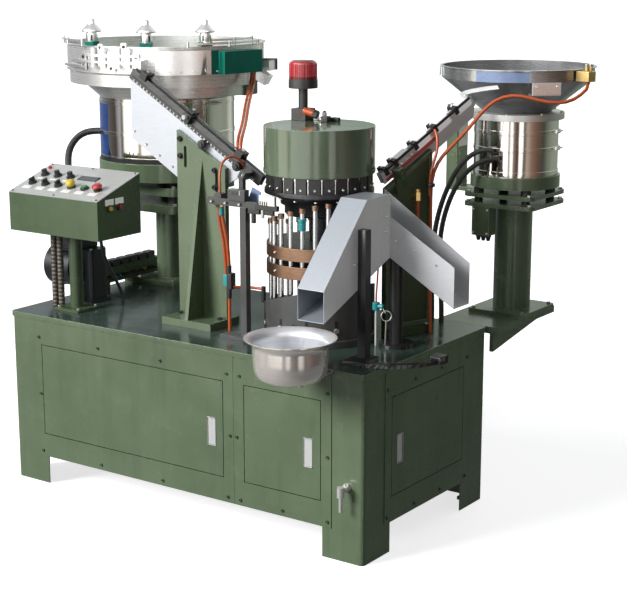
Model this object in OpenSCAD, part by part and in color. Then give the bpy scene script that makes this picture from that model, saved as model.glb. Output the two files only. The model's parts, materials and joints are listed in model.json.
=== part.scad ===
// Screw and washer assembly machine: floor cabinet, indexing turret, two bowl feeders, control console.
// Millimetres. Origin on the floor, midway between the four floor anchor holes.
// +X is right, +Y is to the rear, +Z is up.

/* [Cabinet] */
// Width of the cabinet
cabinet_w = 1560; // [1500:5:1700]
// Depth of the cabinet
cabinet_d = 790; // [760:5:900]
// Height of the table surface above the floor
table_h = 640; // [600:5:760]
// Thickness of the table plate
table_t = 20; // [12:1:30]
// Corner radius of the table plate
table_r = 12; // [5:1:20]
// Width of each face of a leg
leg_w = 160; // [150:5:180]
// Height of the panels' lower edge above the floor
skirt_h = 105; // [80:5:140]
// Width of each face of a corner post above the legs
post_w = 140; // [120:2:145]
// Sheet thickness of the corner posts
post_t = 4; // [3:0.5:6]
// Sheet thickness of the cover panels
panel_t = 3; // [2:0.5:4]
// Width of post face left bare beside a panel
post_show = 126; // [100:2:130]
// Side of the square tube in the frame rails
rail_w = 40; // [30:1:50]
// Wall of the square tube in the frame rails
rail_t = 3; // [2:0.5:5]
// Side of a foot plate
foot_w = 62; // [50:1:66]
// Thickness of a foot plate
foot_t = 12; // [8:1:20]
// Diameter of a floor anchor hole
anchor_d = 14; // [10:1:20]
// Distance from the outer leg faces to an anchor hole
anchor_in = 38; // [36:1:42]
// Gap between the two front panels
seam_gap = 1; // [0.5:0.5:3]

/* [Doors] */
// Distance of the large front door from the cabinet's left side
large_door_in = 153; // [150:1:180]
// Width of the large front door
large_door_w = 838; // [780:2:846]
// Distance of each front door from the seam between the panels
seam_in = 46; // [40:1:60]
// Distance of the small front door from the cabinet's right side
small_door_in = 169; // [166:1:190]
// Front edge of the side door
side_door_y = -228; // [-235:1:-200]
// Width of the side door
side_door_w = 460; // [400:5:470]
// Height of the doors' lower edge above the floor
door_z = 194; // [170:2:220]
// Height of the doors
door_h = 335; // [280:5:345]
// Gap round each door
door_gap = 3; // [2.6:0.1:4]
// Sheet thickness of the doors
door_t = 2; // [1.5:0.5:3]
// Depth of the folded door pan
door_depth = 18; // [16:1:24]
// Diameter of a hinge pin
hinge_d = 6; // [5:0.5:7]
// Distance of the hinge pin from the door's edge
hinge_in = 10; // [9:0.5:12]
// Distance of the hinge pin behind the door's face
hinge_back = 7; // [6.5:0.1:7.2]
// Length of a hinge pin beyond the door
hinge_reach = 14; // [12:1:18]
// Thickness of a hinge bracket
bracket_t = 9; // [8:1:12]
// Radial clearance of a hinge pin or a push rod
pin_clear = 0.05; // [0.02:0.01:0.1]
// Width of a latch lever
latch_w = 30; // [24:1:34]
// Height of a latch lever
latch_h = 92; // [80:1:100]
// Distance of a latch from the door's free edge
latch_in = 48; // [40:1:60]
// Gap round a latch lever
latch_gap = 2.5; // [2:0.1:3]
// Thickness of a latch lever
latch_t = 3; // [2:0.5:3.5]
// Diameter of a latch lever's pivot
latch_pin_d = 4; // [3:0.5:5]

/* [Console] */
// Left side of the console
console_x = -820; // [-840:5:-800]
// Front of the console
console_y = -340; // [-360:5:-320]
// Width of the console
console_w = 437; // [420:1:460]
// Depth of the console
console_d = 228; // [220:1:260]
// Height of the console's underside above the table
console_up = 290; // [240:5:340]
// Height of the console's front wall
console_front_h = 140; // [110:5:160]
// Tilt of the console's face
console_tilt = 18.7; // [10:0.1:25]
// Sheet thickness of the console
console_t = 2; // [1.5:0.5:3]
// Thickness of the console's face plate
face_t = 3; // [2:0.5:4]
// Diameter of the console's post
console_post_d = 50; // [40:1:60]
// Post's distance from the console's left side
console_post_u = 223; // [200:1:240]
// Post's distance from the console's front
console_post_v = 106; // [90:1:130]
// Diameter of the post's flanges
console_flange_d = 120; // [100:5:130]
// Thickness of the post's flanges
console_flange_t = 10; // [6:1:14]
// First control's distance from the console's left side
control_u = 49; // [40:1:60]
// Distance between controls
control_pitch = 65; // [60:1:66]
// Front row of controls, along the face from its front edge
control_row = 80; // [70:1:90]
// Rear row of controls, along the face from its front edge
knob_row = 150; // [130:1:170]
// Height of a control's bezel
bezel_h = 6; // [4:0.5:8]
// Diameter of a control's bezel
bezel_d = 32; // [30:1:38]
// Diameter of a push button
push_d = 22; // [18:1:24]
// Travel of a push button
push_travel = 4; // [2:0.5:5]
// Diameter of the stop button's head
stop_d = 38; // [34:1:44]
// Diameter of a turning control's stem
stem_d = 8; // [6:0.5:10]
// Diameter of a turning control
knob_d = 24; // [20:1:28]

/* [Drive] */
// Distance of the drive shaft from the cabinet's left side
drive_in = 125; // [120:1:135]
// Place of the drive shaft, in depth
drive_y = -95; // [-98:1:-80]
// Diameter of the drive shaft
drive_shaft_d = 28; // [20:1:35]
// Radius of the motor's frame
motor_r = 78; // [60:1:85]
// Length of the motor
motor_l = 125; // [110:1:130]
// Side of the gearbox
gearbox_w = 90; // [80:1:94]
// Height of the gearbox
gearbox_h = 200; // [180:2:230]
// Radius of the drive pulley
drive_pulley_r = 30; // [25:1:40]
// Radius of the turret pulley
turret_pulley_r = 90; // [75:1:110]
// Width of the drive belt
belt_w = 24; // [15:1:30]
// Thickness of the drive belt
belt_t = 6; // [4:0.5:8]
// Distance of the belt below the table plate
belt_down = 60; // [40:2:90]
// Running gap where nothing should touch
run_gap = 0.4; // [0.3:0.1:1]

/* [Turret] */
// Place of the turret, across
turret_x = 367; // [360:1:372]
// Place of the turret, in depth
turret_y = -50; // [-55:1:-45]
// Number of stations
stations = 24; // [12:1:24]
// Radius of the turret's base flange
base_r = 200; // [195:1:215]
// Thickness of the turret's base flange
base_t = 25; // [15:1:35]
// Diameter of the still centre post
centre_d = 36; // [28:1:44]
// Outer diameter of the turning spindle
spindle_d = 66; // [58:1:80]
// Height of the dial's top above the table
dial_up = 516; // [500:2:560]
// Thickness of the dial
dial_t = 14; // [10:1:20]
// Radius of the dial
dial_r = 186; // [182:1:188]
// Radius of the circle of lift rods
rod_circle_r = 166; // [164:1:167]
// Diameter of a lift rod
rod_d = 16; // [10:0.5:16]
// Length of a lift rod
rod_l = 285; // [270:1:290]
// Diameter of a lift rod's collar
collar_d = 22; // [18:1:24]
// Height of a lift rod's collar
collar_h = 16; // [10:1:20]
// Height of the lower rod guide above the table
guide_up = 228; // [215:1:235]
// Distance between the two rod guides
guide_pitch = 62; // [56:1:70]
// Height of a rod guide
guide_h = 43; // [30:1:46]
// Radius of a rod guide
guide_r = 176; // [174:1:177]
// Thickness of a retaining band
band_t = 4; // [2:0.5:4]
// Radius of the lift cam's inside
cam_r = 182; // [181:1:185]
// Wall of the lift cam
cam_t = 8; // [5:0.5:10]
// Height of the lift cam's middle level above the table
cam_up = 153; // [140:1:155]
// Rise of the lift cam above and below its middle level
cam_rise = 53; // [30:1:54]
// Direction of the lift cam's highest point
cam_angle = 340; // [320:1:350]
// Width of a station block
block_w = 36; // [28:0.5:40]
// Radial depth of a station block
block_d = 30; // [22:1:34]
// Height of a station block
block_h = 51; // [40:1:60]
// Radius of the drum cover
cover_r = 188; // [180:1:190]
// Height of the drum cover
cover_h = 158; // [120:2:190]
// Sheet thickness of the drum cover
cover_t = 3; // [2:0.5:5]
// Distance of the beacon from the turret's axis
beacon_out = 155; // [140:1:158]
// Direction of the beacon
beacon_angle = 146; // [130:1:160]
// Radius of the beacon's lens
beacon_r = 50; // [40:1:55]
// Height of the beacon's lens
beacon_h = 62; // [50:1:75]
// Length of the beacon's pole
beacon_pole = 110; // [80:1:130]

/* [Left feeder] */
// Place of the left feeder, across
left_x = -640; // [-660:5:-620]
// Place of the left feeder, in depth
left_y = 350; // [345:1:365]
// Diameter of the left feeder's column
left_column_d = 108; // [90:1:130]
// Height of the left feeder's lower plate above the table
left_up = 310; // [290:5:330]
// Radius of the left feeder's drum
left_drum_r = 262; // [245:1:275]
// Height of the left feeder's drum
left_drum_h = 243; // [200:1:270]
// Radius of the left bowl's rim
left_rim_r = 380; // [370:1:392]
// Height of the left bowl's cone
left_cone_h = 106; // [90:1:130]
// Height of the skirt ring under the left bowl's rim
skirt_drop = 50; // [40:1:60]
// Step from the left bowl's rim in to its skirt ring
skirt_in = 8; // [6:1:12]
// Height of the left bowl's rim wall
left_rim_h = 100; // [70:1:110]

/* [Right feeder] */
// Place of the right feeder, across
right_x = 722; // [700:1:740]
// Distance of the right feeder behind the cabinet
right_back = 287; // [280:1:300]
// Diameter of the right feeder's column
right_column_d = 136; // [110:1:150]
// Height of the right feeder's lower plate above the table
right_up = 395; // [360:5:420]
// Radius of the right feeder's drum
right_drum_r = 151; // [140:1:165]
// Height of the right feeder's drum
right_drum_h = 201; // [170:1:220]
// Radius of the right bowl's rim
right_rim_r = 271; // [255:1:285]
// Height of the right bowl's cone
right_cone_h = 121; // [100:1:140]
// Height of the right bowl's rim wall
right_rim_h = 42; // [30:1:70]
// Sheet thickness of the bowls
bowl_t = 4; // [3:0.5:6]
// Height of the clamp ring under the right bowl
right_clamp_h = 23; // [16:1:30]
// Diameter of the stud that carries a bowl
bowl_stud_d = 40; // [30:1:50]

/* [Tracks] */
// Slope of the tracks
track_slope = 30.6; // [28:0.1:31]
// Height of a track bar
track_h = 40; // [30:1:48]
// Thickness of a track bar
track_t = 9; // [6:0.5:12]
// Gap between the two bars of a track
track_gap = 7; // [5:0.5:8]
// Length of the left track
left_track_l = 668; // [640:2:680]
// Place of the left track, in depth
left_track_y = -105; // [-112:1:-100]
// Distance of the left track's low end from the turret's axis
left_track_out = 189; // [188:1:200]
// Height of the left track's low end above the dial's top
track_up = 28; // [24:1:40]
// Thickness of a track's carrying plate
plate_t = 10; // [8:1:14]
// Depth of the left carrying plate
left_plate_h = 186; // [150:2:200]
// Length of the right track
right_track_l = 470; // [440:2:480]
// Plan direction of the right track
right_track_turn = 72.4; // [70:0.2:75]
// Depth of the right carrying plate
right_plate_h = 36; // [34:2:60]
// Width of the left tower
tower_w = 215; // [190:1:230]
// Thickness of a tower's plate
tower_t = 20; // [12:1:25]
// Thickness of a tower's base plate
tower_base_t = 25; // [16:1:30]
// Depth of the left tower's gusset at its foot
gusset_d = 95; // [70:1:100]
// Height of the left tower's high edge above the table
tower_h = 680; // [640:2:690]
// Width of the right tower
right_tower_w = 200; // [160:2:220]
// Height of the right tower's low edge above the table
right_tower_h = 515; // [480:1:520]
// Side of the gate post
gate_post_w = 25; // [20:1:30]
// Width of a gate blade
blade_w = 5; // [3:0.5:6]
// Height of a gate blade
blade_h = 12; // [8:1:16]

/* [Chutes] */
// Left side of the front chute
chute_x = 562; // [560:1:566]
// Width of the front chute
chute_w = 101; // [90:1:110]
// Sheet thickness of the chutes
chute_t = 2; // [1.5:0.5:3]
// Place of the front chute's mouth
chute_mouth_y = -450; // [-470:2:-440]
// Height of the front chute's mouth above the table
chute_mouth_up = 160; // [150:2:180]
// Height of the front chute's mouth
chute_mouth_h = 103; // [90:1:115]
// Height of the chutes' top above the table
chute_top = 520; // [480:2:540]
// Place of the wall between the chutes
chute_mid_y = -70; // [-80:1:-60]
// Depth of the flat top of the front chute
chute_hub = 138; // [110:2:160]
// Height of the front chute's back edge above the table
chute_back_up = 310; // [290:2:330]
// Width of the side chute
side_chute_w = 100; // [90:1:110]
// Reach of the side chute beyond the front chute
side_chute_l = 245; // [220:1:260]
// Fall of the side chute
side_chute_fall = 142; // [120:1:160]
// Height of the side chute's near wall
side_wall_h = 136; // [110:1:150]
// Side of the chute post
chute_post_w = 30; // [25:1:40]
// Height of the chute post
chute_post_h = 431; // [400:1:440]
// Diameter of the chute column
chute_column_d = 45; // [35:1:55]

/* [Catch bowl] */
// Place of the catch bowl, across
catch_x = 603; // [590:1:620]
// Distance of the catch bowl in front of the cabinet
catch_out = 150; // [150:1:160]
// Radius of the catch bowl's rim
catch_rim_r = 146; // [140:1:150]
// Radius of the catch bowl's body
catch_r = 118; // [110:1:122]
// Radius of the catch bowl's base
catch_base_r = 95; // [80:1:100]
// Height of the catch bowl
catch_h = 137; // [120:1:142]
// Sheet thickness of the catch bowl
catch_t = 2; // [1.5:0.5:3]
// Thickness of the catch bowl's bracket
catch_bracket_t = 8; // [5:0.5:10]

/* [Hidden] */
$fn = 64;
eps = 1;

green = [0.36, 0.43, 0.31];
dark_green = [0.23, 0.29, 0.22];
steel = [0.62, 0.63, 0.64];
alloy = [0.80, 0.81, 0.82];
black = [0.08, 0.08, 0.09];
grey = [0.42, 0.42, 0.44];
brown = [0.42, 0.27, 0.17];
navy = [0.12, 0.15, 0.28];

// Cabinet
half_w = cabinet_w / 2;
large_door_x = large_door_in - half_w;
front_seam_x = large_door_x + large_door_w + seam_in;
small_door_x = front_seam_x + seam_in;
small_door_w = half_w - small_door_in - small_door_x;
drive_x = drive_in - half_w;
half_d = cabinet_d / 2;
frame_x = half_w - panel_t;
frame_y = half_d - panel_t;
under = table_h - table_t;
rail_x = frame_x - post_t;
rail_y = frame_y - post_t;
floor_z = skirt_h + rail_w;

// Doors
latch_z = door_h / 2 - 16;
latch_pin_up = latch_h / 2 - 7;
latch_pin_back = latch_t + latch_pin_d / 2 + 1.5;
cup_wall = 2;
cup_depth = door_depth - 4;

// Console
console_z = table_h + console_up;
console_post_x = console_x + console_post_u;
console_post_y = console_y + console_post_v;
console_rise = console_d * tan(console_tilt);
face_l = console_d / cos(console_tilt);
label_w = 34;
label_l = 12;
label_gap = 8;
stop_stem_d = 16;
push_up = 6;
stem_below = 10;
side_button_d = 16;
side_button_v = 62;
side_button_gap = 52;
side_button_down = 50;

// Drive
motor_z = table_h + gearbox_h * 0.62;
belt_z = under - belt_down - belt_w;
pulley_flange = 4;
shaft_gap = 8;
gearbox_bore = gearbox_h * 0.4;

// Turret
dial_z = table_h + dial_up;
centre_r = centre_d / 2;
spindle_r = spindle_d / 2;
block_out = dial_r - 6;
cover_gap = 1;
cover_z = dial_z + block_h + cover_gap;
cover_top = cover_z + cover_h;
spindle_low = belt_z - pulley_flange - 12;
hanger_gap = 20;
hanger_t = 12;
hanger_z = spindle_low - run_gap - hanger_t;
housing_r = spindle_r + 34;
housing_h = 70;
rod_gap = 0.05;

// Feeders
right_y = half_d + right_back;
stand_gap = 34;
stand_plate_t = 33;
ring_h = 69;
ring_gap = 22;
seat_gap = 0.3;
left_ring_z = table_h + left_up + 2 * stand_plate_t + stand_gap + ring_gap;
left_drum_z = left_ring_z + ring_h;
left_bowl_z = left_drum_z + left_drum_h + seat_gap;
right_plate_t = 15;
right_plate_w = 280;
right_plate_gap = 20;
right_ring_h = 43;
right_ring_z = table_h + right_up + 2 * right_plate_t + 2 * right_plate_gap;
right_drum_z = right_ring_z + right_ring_h;
right_bowl_z = right_drum_z + right_drum_h + right_clamp_h + seat_gap;
stud_h = 30;
bowl_floor_t = 8;
shelf_t = 25;
shelf_w = 250;
column_flange_t = 20;

// Tracks
track_w = track_gap + 2 * track_t;
left_low_x = turret_x - left_track_out;
left_low_z = dial_z + track_up;
right_low_x = turret_x + 178;
right_low_y = turret_y + 91;
right_low_z = dial_z + track_up + 20;
tower_front = left_track_y - plate_t / 2 - tower_t;
tower_right = left_low_x - 153;
tower_left = tower_right - tower_w;
tower_fall = tower_w * tan(track_slope - 1.4);
gate_at = 46;
blade_l = 60;
blade_gap = 0.5;
gate_stroke = track_gap;
gate_wall = 9;
gate_drop = track_h / 2 + blade_h / 2 + gate_wall;
strap_w = 18;
arm_t = 16;

// Chutes
chute_right = chute_x + chute_w;
chute_mouth_z = table_h + chute_mouth_up;
chute_top_z = table_h + chute_top;
chute_back_z = table_h + chute_back_up;
side_start = chute_x + 13;
side_end = chute_right + side_chute_l;
side_angle = atan(side_chute_fall / side_chute_l);
side_rise = (chute_right - side_start) * tan(side_angle);

// Catch bowl
catch_y = -half_d - catch_out;
catch_z = table_h - 8;

// Hose and conduit routes
hose_r = 5;
conduit_r = 13;
lead_r = 9;
cable_r = 6;
flex_r = 12;
tube_sides = 8;
left_hose = [[78, -181, 640], [78, -181, 760], [80, -184, 880], [80, -194, 970], [74, -204, 1030],
    [70, -208, 1064], [70, -208, 1090]];
right_hose = [[657, 208, 640], [654, 208, 800], [652, 208, 980], [650, 208, 1120], [648, 212, 1200],
    [656, 232, 1240], [682, 262, 1272], [716, 304, 1318], [744, 350, 1375], [768, 384, 1428],
    [826, 412, 1462], [880, 436, 1456], [928, 460, 1430], [1000, 506, 1424], [1034, 562, 1448],
    [1030, 612, 1494]];
bowl_hose = [[68, -97, 1252], [68, -97, 1262], [65, -92, 1284], [61, -83, 1296], [55, -72, 1304],
    [5, 15, 1338],
    [-96, 165, 1385], [-206, 337, 1438], [-213, 352, 1451], [-217, 360, 1465], [-218, 362, 1480],
    [-218, 362, 1489.4]];
hose_beside = [-14, 0, 8.3];
bowl_hose_2 = [for (i = [0 : len(bowl_hose) - 1]) let (down = 1 - i / (len(bowl_hose) - 1))
    bowl_hose[i] + [hose_beside[0], 0, hose_beside[2] * down]];
left_conduit = [[-862, 206, 1239], [-884, 190, 1240], [-908, 160, 1236], [-922, 120, 1210],
    [-918, 80, 1168], [-880, 36, 1122], [-819, -23, 1077], [-807, -39, 1068], [-798, -58, 1061],
    [-792, -78, 1057], [-790, -100, 1056], [-790, -112, 1056]];
right_conduits = [[[745, 515, 1218], [690, 508, 1212], [640, 500, 1180], [600, 488, 1130],
    [572, 470, 1060], [558, 450, 982], [560, 430, 914], [574, 406, 830], [592, 386, 752], [604, 374, 690],
    [604, 374, 640]],
    [[720, 512, 1246], [665, 522, 1244], [608, 520, 1208], [568, 508, 1150], [538, 490, 1070],
    [522, 470, 985], [526, 440, 900], [538, 412, 815], [552, 392, 745], [560, 382, 690], [560, 382, 640]]];
console_cable = [[-490, -212, 930], [-490, -212, 905], [-493, -200, 862], [-499, -170, 808],
    [-506, -120, 739], [-511, -88, 690], [-513, -80, 664], [-513, -80, 640]];
flex_routes = [[[-715, -226, 930], [-715, -226, 640]], [[-684, -226, 930], [-684, -226, 640]]];

// Shared shapes
module slab(low, high) {
    translate(low) cube(high - low);
}

module ring(outer_r, inner_r, h) {
    difference() {
        cylinder(r = outer_r, h = h);
        translate([0, 0, -eps]) cylinder(r = inner_r, h = h + 2 * eps);
    }
}

module tube_bar(length, side, wall) {
    difference() {
        cube([length, side, side]);
        translate([-eps, wall, wall]) cube([length + 2 * eps, side - 2 * wall, side - 2 * wall]);
    }
}

module rounded_plate(w, d, r, h) {
    linear_extrude(h) {
        square([w - 2 * r, d], center = true);
        square([w, d - 2 * r], center = true);
        for (sx = [-1, 1], sy = [-1, 1]) translate([sx * (w / 2 - r), sy * (d / 2 - r)]) circle(r = r);
    }
}

// A round tube along a list of points, one ring of corners at each point
function unit(v) = v / norm(v);
function along(p, i) = unit(p[min(i + 1, len(p) - 1)] - p[max(i - 1, 0)]);
function side_of(t) = unit(cross(t, abs(t[0]) < 0.9 ? [1, 0, 0.2] : [0, 1, 0.2]));
function ring_points(p, i, r) = let (t = along(p, i), a = side_of(t), b = cross(t, a))
    [for (k = [0 : tube_sides - 1]) let (q = 360 * k / tube_sides) p[i] + r * (a * cos(q) + b * sin(q))];
module tube(p, r) {
    n = len(p);
    sides = tube_sides;
    points = [for (i = [0 : n - 1]) each ring_points(p, i, r)];
    walls = [for (i = [0 : n - 2], k = [0 : sides - 1]) let (j = (k + 1) % sides)
        each [[i * sides + k, (i + 1) * sides + k, (i + 1) * sides + j],
            [i * sides + k, (i + 1) * sides + j, i * sides + j]]];
    first = [[for (k = [0 : sides - 1]) k]];
    last = [[for (k = [sides - 1 : -1 : 0]) (n - 1) * sides + k]];
    polyhedron(points, concat(walls, first, last));
}

// Cabinet
module leg_profile(side) {
    square([side, post_t]);
    square([post_t, side]);
}

module corner_post() {
    linear_extrude(floor_z) leg_profile(leg_w);
    translate([0, 0, floor_z]) linear_extrude(under - floor_z) leg_profile(post_w);
    difference() {
        translate([post_t, post_t, 0]) cube([foot_w, foot_w, foot_t]);
        translate([anchor_in - panel_t, anchor_in - panel_t, -eps])
            cylinder(d = anchor_d, h = foot_t + 2 * eps);
    }
}

module frame_ring(z) {
    for (y = [-rail_y, rail_y - rail_w]) translate([-rail_x, y, z]) tube_bar(2 * rail_x, rail_w, rail_t);
    for (x = [-rail_x + rail_w, rail_x]) translate([x, rail_w - rail_y, z]) rotate([0, 0, 90])
        tube_bar(2 * (rail_y - rail_w), rail_w, rail_t);
}

module cabinet_frame() {
    color(dark_green) {
        for (sx = [0, 1], sy = [0, 1]) mirror([sx, 0, 0]) mirror([0, sy, 0])
            translate([-frame_x, -frame_y, 0]) corner_post();
        frame_ring(skirt_h);
        frame_ring(under - rail_w);
        slab([front_seam_x - rail_w / 2, -frame_y, floor_z],
            [front_seam_x + rail_w / 2, rail_w - rail_y, under - rail_w]);
    }
}

module table_top() {
    color(dark_green) difference() {
        translate([0, 0, under]) rounded_plate(cabinet_w, cabinet_d, table_r, table_t);
        translate([turret_x, turret_y, under - eps])
            cylinder(r = spindle_r + shaft_gap, h = table_t + 2 * eps);
        translate([drive_x, drive_y, under - eps])
            cylinder(r = drive_shaft_d / 2 + shaft_gap, h = table_t + 2 * eps);
    }
}

// A door's own frame: x from the left edge, y inwards from the face, z up from the lower edge
module at_large_door() { translate([large_door_x, -half_d, door_z]) children(); }
module at_small_door() { translate([small_door_x, -half_d, door_z]) children(); }
module at_side_door() { translate([half_w, side_door_y, door_z]) rotate([0, 0, 90]) children(); }

module door_opening(w) {
    translate([-door_gap, -eps, -door_gap])
        cube([w + 2 * door_gap, panel_t + 2 * eps, door_h + 2 * door_gap]);
}

module hinge_brackets(hinge_x) {
    block = 2.4 * hinge_d;
    for (z = [-door_gap - eps - bracket_t, door_h + door_gap + eps]) difference() {
        translate([hinge_x - block / 2, panel_t, z])
            cube([block, hinge_back + block / 2 - panel_t, bracket_t]);
        translate([hinge_x, hinge_back, z - eps])
            cylinder(d = hinge_d + 2 * pin_clear, h = bracket_t + 2 * eps);
    }
}

module front_panels() {
    panel_x = half_w - post_show;
    color(green) {
        difference() {
            slab([-panel_x, -half_d, skirt_h], [front_seam_x - seam_gap / 2, panel_t - half_d, under]);
            at_large_door() door_opening(large_door_w);
        }
        at_large_door() hinge_brackets(hinge_in);
        difference() {
            slab([front_seam_x + seam_gap / 2, -half_d, skirt_h], [panel_x, panel_t - half_d, under]);
            at_small_door() door_opening(small_door_w);
        }
        at_small_door() hinge_brackets(hinge_in);
    }
}

module side_panels() {
    panel_x = half_w - post_show;
    panel_y = half_d - post_show;
    color(green) {
        difference() {
            slab([frame_x, -panel_y, skirt_h], [half_w, panel_y, under]);
            at_side_door() door_opening(side_door_w);
        }
        at_side_door() hinge_brackets(side_door_w - hinge_in);
        slab([-half_w, -panel_y, skirt_h], [-frame_x, panel_y, under]);
        slab([-panel_x, frame_y, skirt_h], [panel_x, half_d, under]);
        slab([-rail_x, rail_w - rail_y, floor_z], [rail_x, rail_y - rail_w, floor_z + panel_t]);
    }
}

module door_pan(w, hinge_x, latch_x) {
    pocket_w = latch_w + 2 * latch_gap;
    pocket_h = latch_h + 2 * latch_gap;
    difference() {
        union() {
            difference() {
                cube([w, door_depth, door_h]);
                translate([door_t, door_t, door_t]) cube([w - 2 * door_t, door_depth, door_h - 2 * door_t]);
            }
            translate([latch_x - pocket_w / 2 - cup_wall, 0, latch_z - pocket_h / 2 - cup_wall])
                cube([pocket_w + 2 * cup_wall, cup_depth, pocket_h + 2 * cup_wall]);
            for (z = [-hinge_reach, door_h - hinge_reach]) translate([hinge_x, hinge_back, z])
                cylinder(d = hinge_d, h = 2 * hinge_reach);
        }
        translate([latch_x - pocket_w / 2, -eps, latch_z - pocket_h / 2])
            cube([pocket_w, cup_depth - cup_wall + eps, pocket_h]);
        translate([latch_x, latch_pin_back, latch_z + latch_pin_up]) rotate([0, 90, 0])
            cylinder(d = latch_pin_d + 2 * pin_clear, h = pocket_w + 2 * cup_wall + 2 * eps, center = true);
    }
}

module latch_lever(latch_x) {
    recess = 0.5;
    knuckle = latch_pin_d + 4;
    translate([latch_x - latch_w / 2, recess, latch_z - latch_h / 2]) cube([latch_w, latch_t, latch_h]);
    translate([latch_x - latch_w / 2, recess, latch_z + latch_pin_up - knuckle / 2])
        cube([latch_w, latch_pin_back + latch_pin_d / 2 + 1 - recess, knuckle]);
    translate([latch_x, latch_pin_back, latch_z + latch_pin_up]) rotate([0, 90, 0])
        cylinder(d = latch_pin_d, h = latch_w + 2 * latch_gap + 2 * cup_wall, center = true);
}

module large_door() { color(green) at_large_door()
    door_pan(large_door_w, hinge_in, large_door_w - latch_in); }
module small_door() { color(green) at_small_door()
    door_pan(small_door_w, hinge_in, small_door_w - latch_in); }
module side_door() { color(green) at_side_door() door_pan(side_door_w, side_door_w - hinge_in, latch_in); }
module large_door_latch() { color(steel) at_large_door() latch_lever(large_door_w - latch_in); }
module small_door_latch() { color(steel) at_small_door() latch_lever(small_door_w - latch_in); }
module side_door_latch() { color(steel) at_side_door() latch_lever(latch_in); }

// Control gear on its back plate, bolted to the rear rails behind the large door
module control_gear() {
    gear_t = 3;
    gear_x = -560;
    gear_w = 620;
    gear_y = rail_y - rail_w;
    gear_rows = [[40, 110, 90, 60], [160, 150, 110, 70], [330, 90, 100, 55], [440, 130, 85, 75]];
    color(steel) slab([gear_x, gear_y - gear_t, floor_z + panel_t], [gear_x + gear_w, gear_y, under]);
    color(grey) for (g = gear_rows)
        slab([gear_x + g[0], gear_y - gear_t - g[3], floor_z + 180],
            [gear_x + g[0] + g[1], gear_y - gear_t, floor_z + 180 + g[2]]);
    color(black) for (z = [60, 330])
        slab([gear_x + 30, gear_y - gear_t - 40, floor_z + z],
            [gear_x + gear_w - 30, gear_y - gear_t, floor_z + z + 40]);
}

// Drive: geared motor on the table, belt below the table plate
module drive_motor() {
    fins = 20;
    fin_t = 4;
    fin_h = 10;
    bell = 30;
    cowl_l = 48;
    gear_left = drive_x - gearbox_w / 2;
    base_over = 10;
    base_w = gearbox_w + 2 * base_over;
    gearbox_base = 12;
    color(navy) difference() {
        union() {
            translate([drive_x, drive_y, table_h]) rounded_plate(base_w, base_w, 10, gearbox_base);
            translate([drive_x, drive_y, table_h]) rounded_plate(gearbox_w, gearbox_w, 14, gearbox_h);
            translate([gear_left - motor_l, drive_y, motor_z]) rotate([0, 90, 0]) {
                cylinder(r = motor_r - fin_h, h = motor_l + gearbox_w / 2);
                cylinder(r = motor_r, h = cowl_l);
                translate([0, 0, motor_l - bell]) cylinder(r = motor_r, h = bell);
                for (i = [0 : fins - 1]) rotate(i * 360 / fins) translate([0, -fin_t / 2, cowl_l / 2])
                    cube([motor_r - 2, fin_t, motor_l - cowl_l / 2 - bell / 2]);
            }
            translate([gear_left - motor_l * 0.55, drive_y - 45, motor_z + motor_r - 14])
                cube([80, 90, 44]);
        }
        translate([drive_x, drive_y, table_h - eps])
            cylinder(d = drive_shaft_d + 2 * pin_clear, h = gearbox_bore + eps);
    }
}

module pulley(r, bore_r) {
    difference() {
        union() {
            translate([0, 0, -pulley_flange]) cylinder(r = r + 1.5 * belt_t, h = pulley_flange);
            cylinder(r = r, h = belt_w);
            translate([0, 0, belt_w]) cylinder(r = r + 1.5 * belt_t, h = pulley_flange);
        }
        if (bore_r > 0) translate([0, 0, -pulley_flange - eps])
            cylinder(r = bore_r, h = belt_w + 2 * pulley_flange + 2 * eps);
    }
}

module drive_pulley() {
    color(steel) translate([drive_x, drive_y, 0]) {
        translate([0, 0, belt_z]) pulley(drive_pulley_r, 0);
        translate([0, 0, belt_z]) cylinder(d = drive_shaft_d,
            h = table_h + gearbox_bore - belt_z - run_gap);
    }
}

module belt_outline(grow) {
    hull() {
        translate([drive_x, drive_y]) circle(r = drive_pulley_r + grow, $fn = 48);
        translate([turret_x, turret_y]) circle(r = turret_pulley_r + grow, $fn = 96);
    }
}

module drive_belt() {
    color(black) translate([0, 0, belt_z + run_gap]) linear_extrude(belt_w - 2 * run_gap) difference() {
        belt_outline(belt_t + run_gap);
        belt_outline(run_gap);
    }
}

// Console
module on_face(u, v) {
    translate([console_x, console_y, console_z + console_front_h]) rotate([console_tilt, 0, 0])
        translate([u, v, 0]) children();
}

module on_console_side(i) {
    translate([console_x + console_w, console_y + side_button_v + i * side_button_gap,
        console_z + console_front_h + side_button_v * tan(console_tilt) - side_button_down])
            rotate([0, 90, 0]) children();
}

module console_box() {
    rear_h = console_front_h + console_rise;
    spare = 80;
    color(green) {
        difference() {
            translate([console_x, console_y, console_z]) rotate([90, 0, 90]) linear_extrude(console_w)
                polygon([[0, 0], [console_d, 0], [console_d, rear_h], [0, console_front_h]]);
            translate([console_x + console_t, console_y, console_z]) rotate([90, 0, 90])
                linear_extrude(console_w - 2 * console_t)
                    polygon([[console_t, console_t], [console_d - console_t, console_t],
                    [console_d - console_t, rear_h + spare], [console_t, console_front_h + spare]]);
            for (i = [0, 1]) on_console_side(i)
                cylinder(d = side_button_d + 1, h = 6 * console_t, center = true);
        }
        translate([console_post_x, console_post_y, table_h]) {
            rounded_plate(console_flange_d, console_flange_d, 8, console_flange_t);
            cylinder(d = console_post_d, h = console_up);
            translate([0, 0, console_up - console_flange_t])
                cylinder(d = console_flange_d, h = console_flange_t);
        }
    }
}

module bezel(bore_d) {
    translate([0, 0, face_t]) ring(bezel_d / 2, bore_d / 2 + pin_clear, bezel_h);
}

function control_at(i) = control_u + i * control_pitch;

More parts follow.
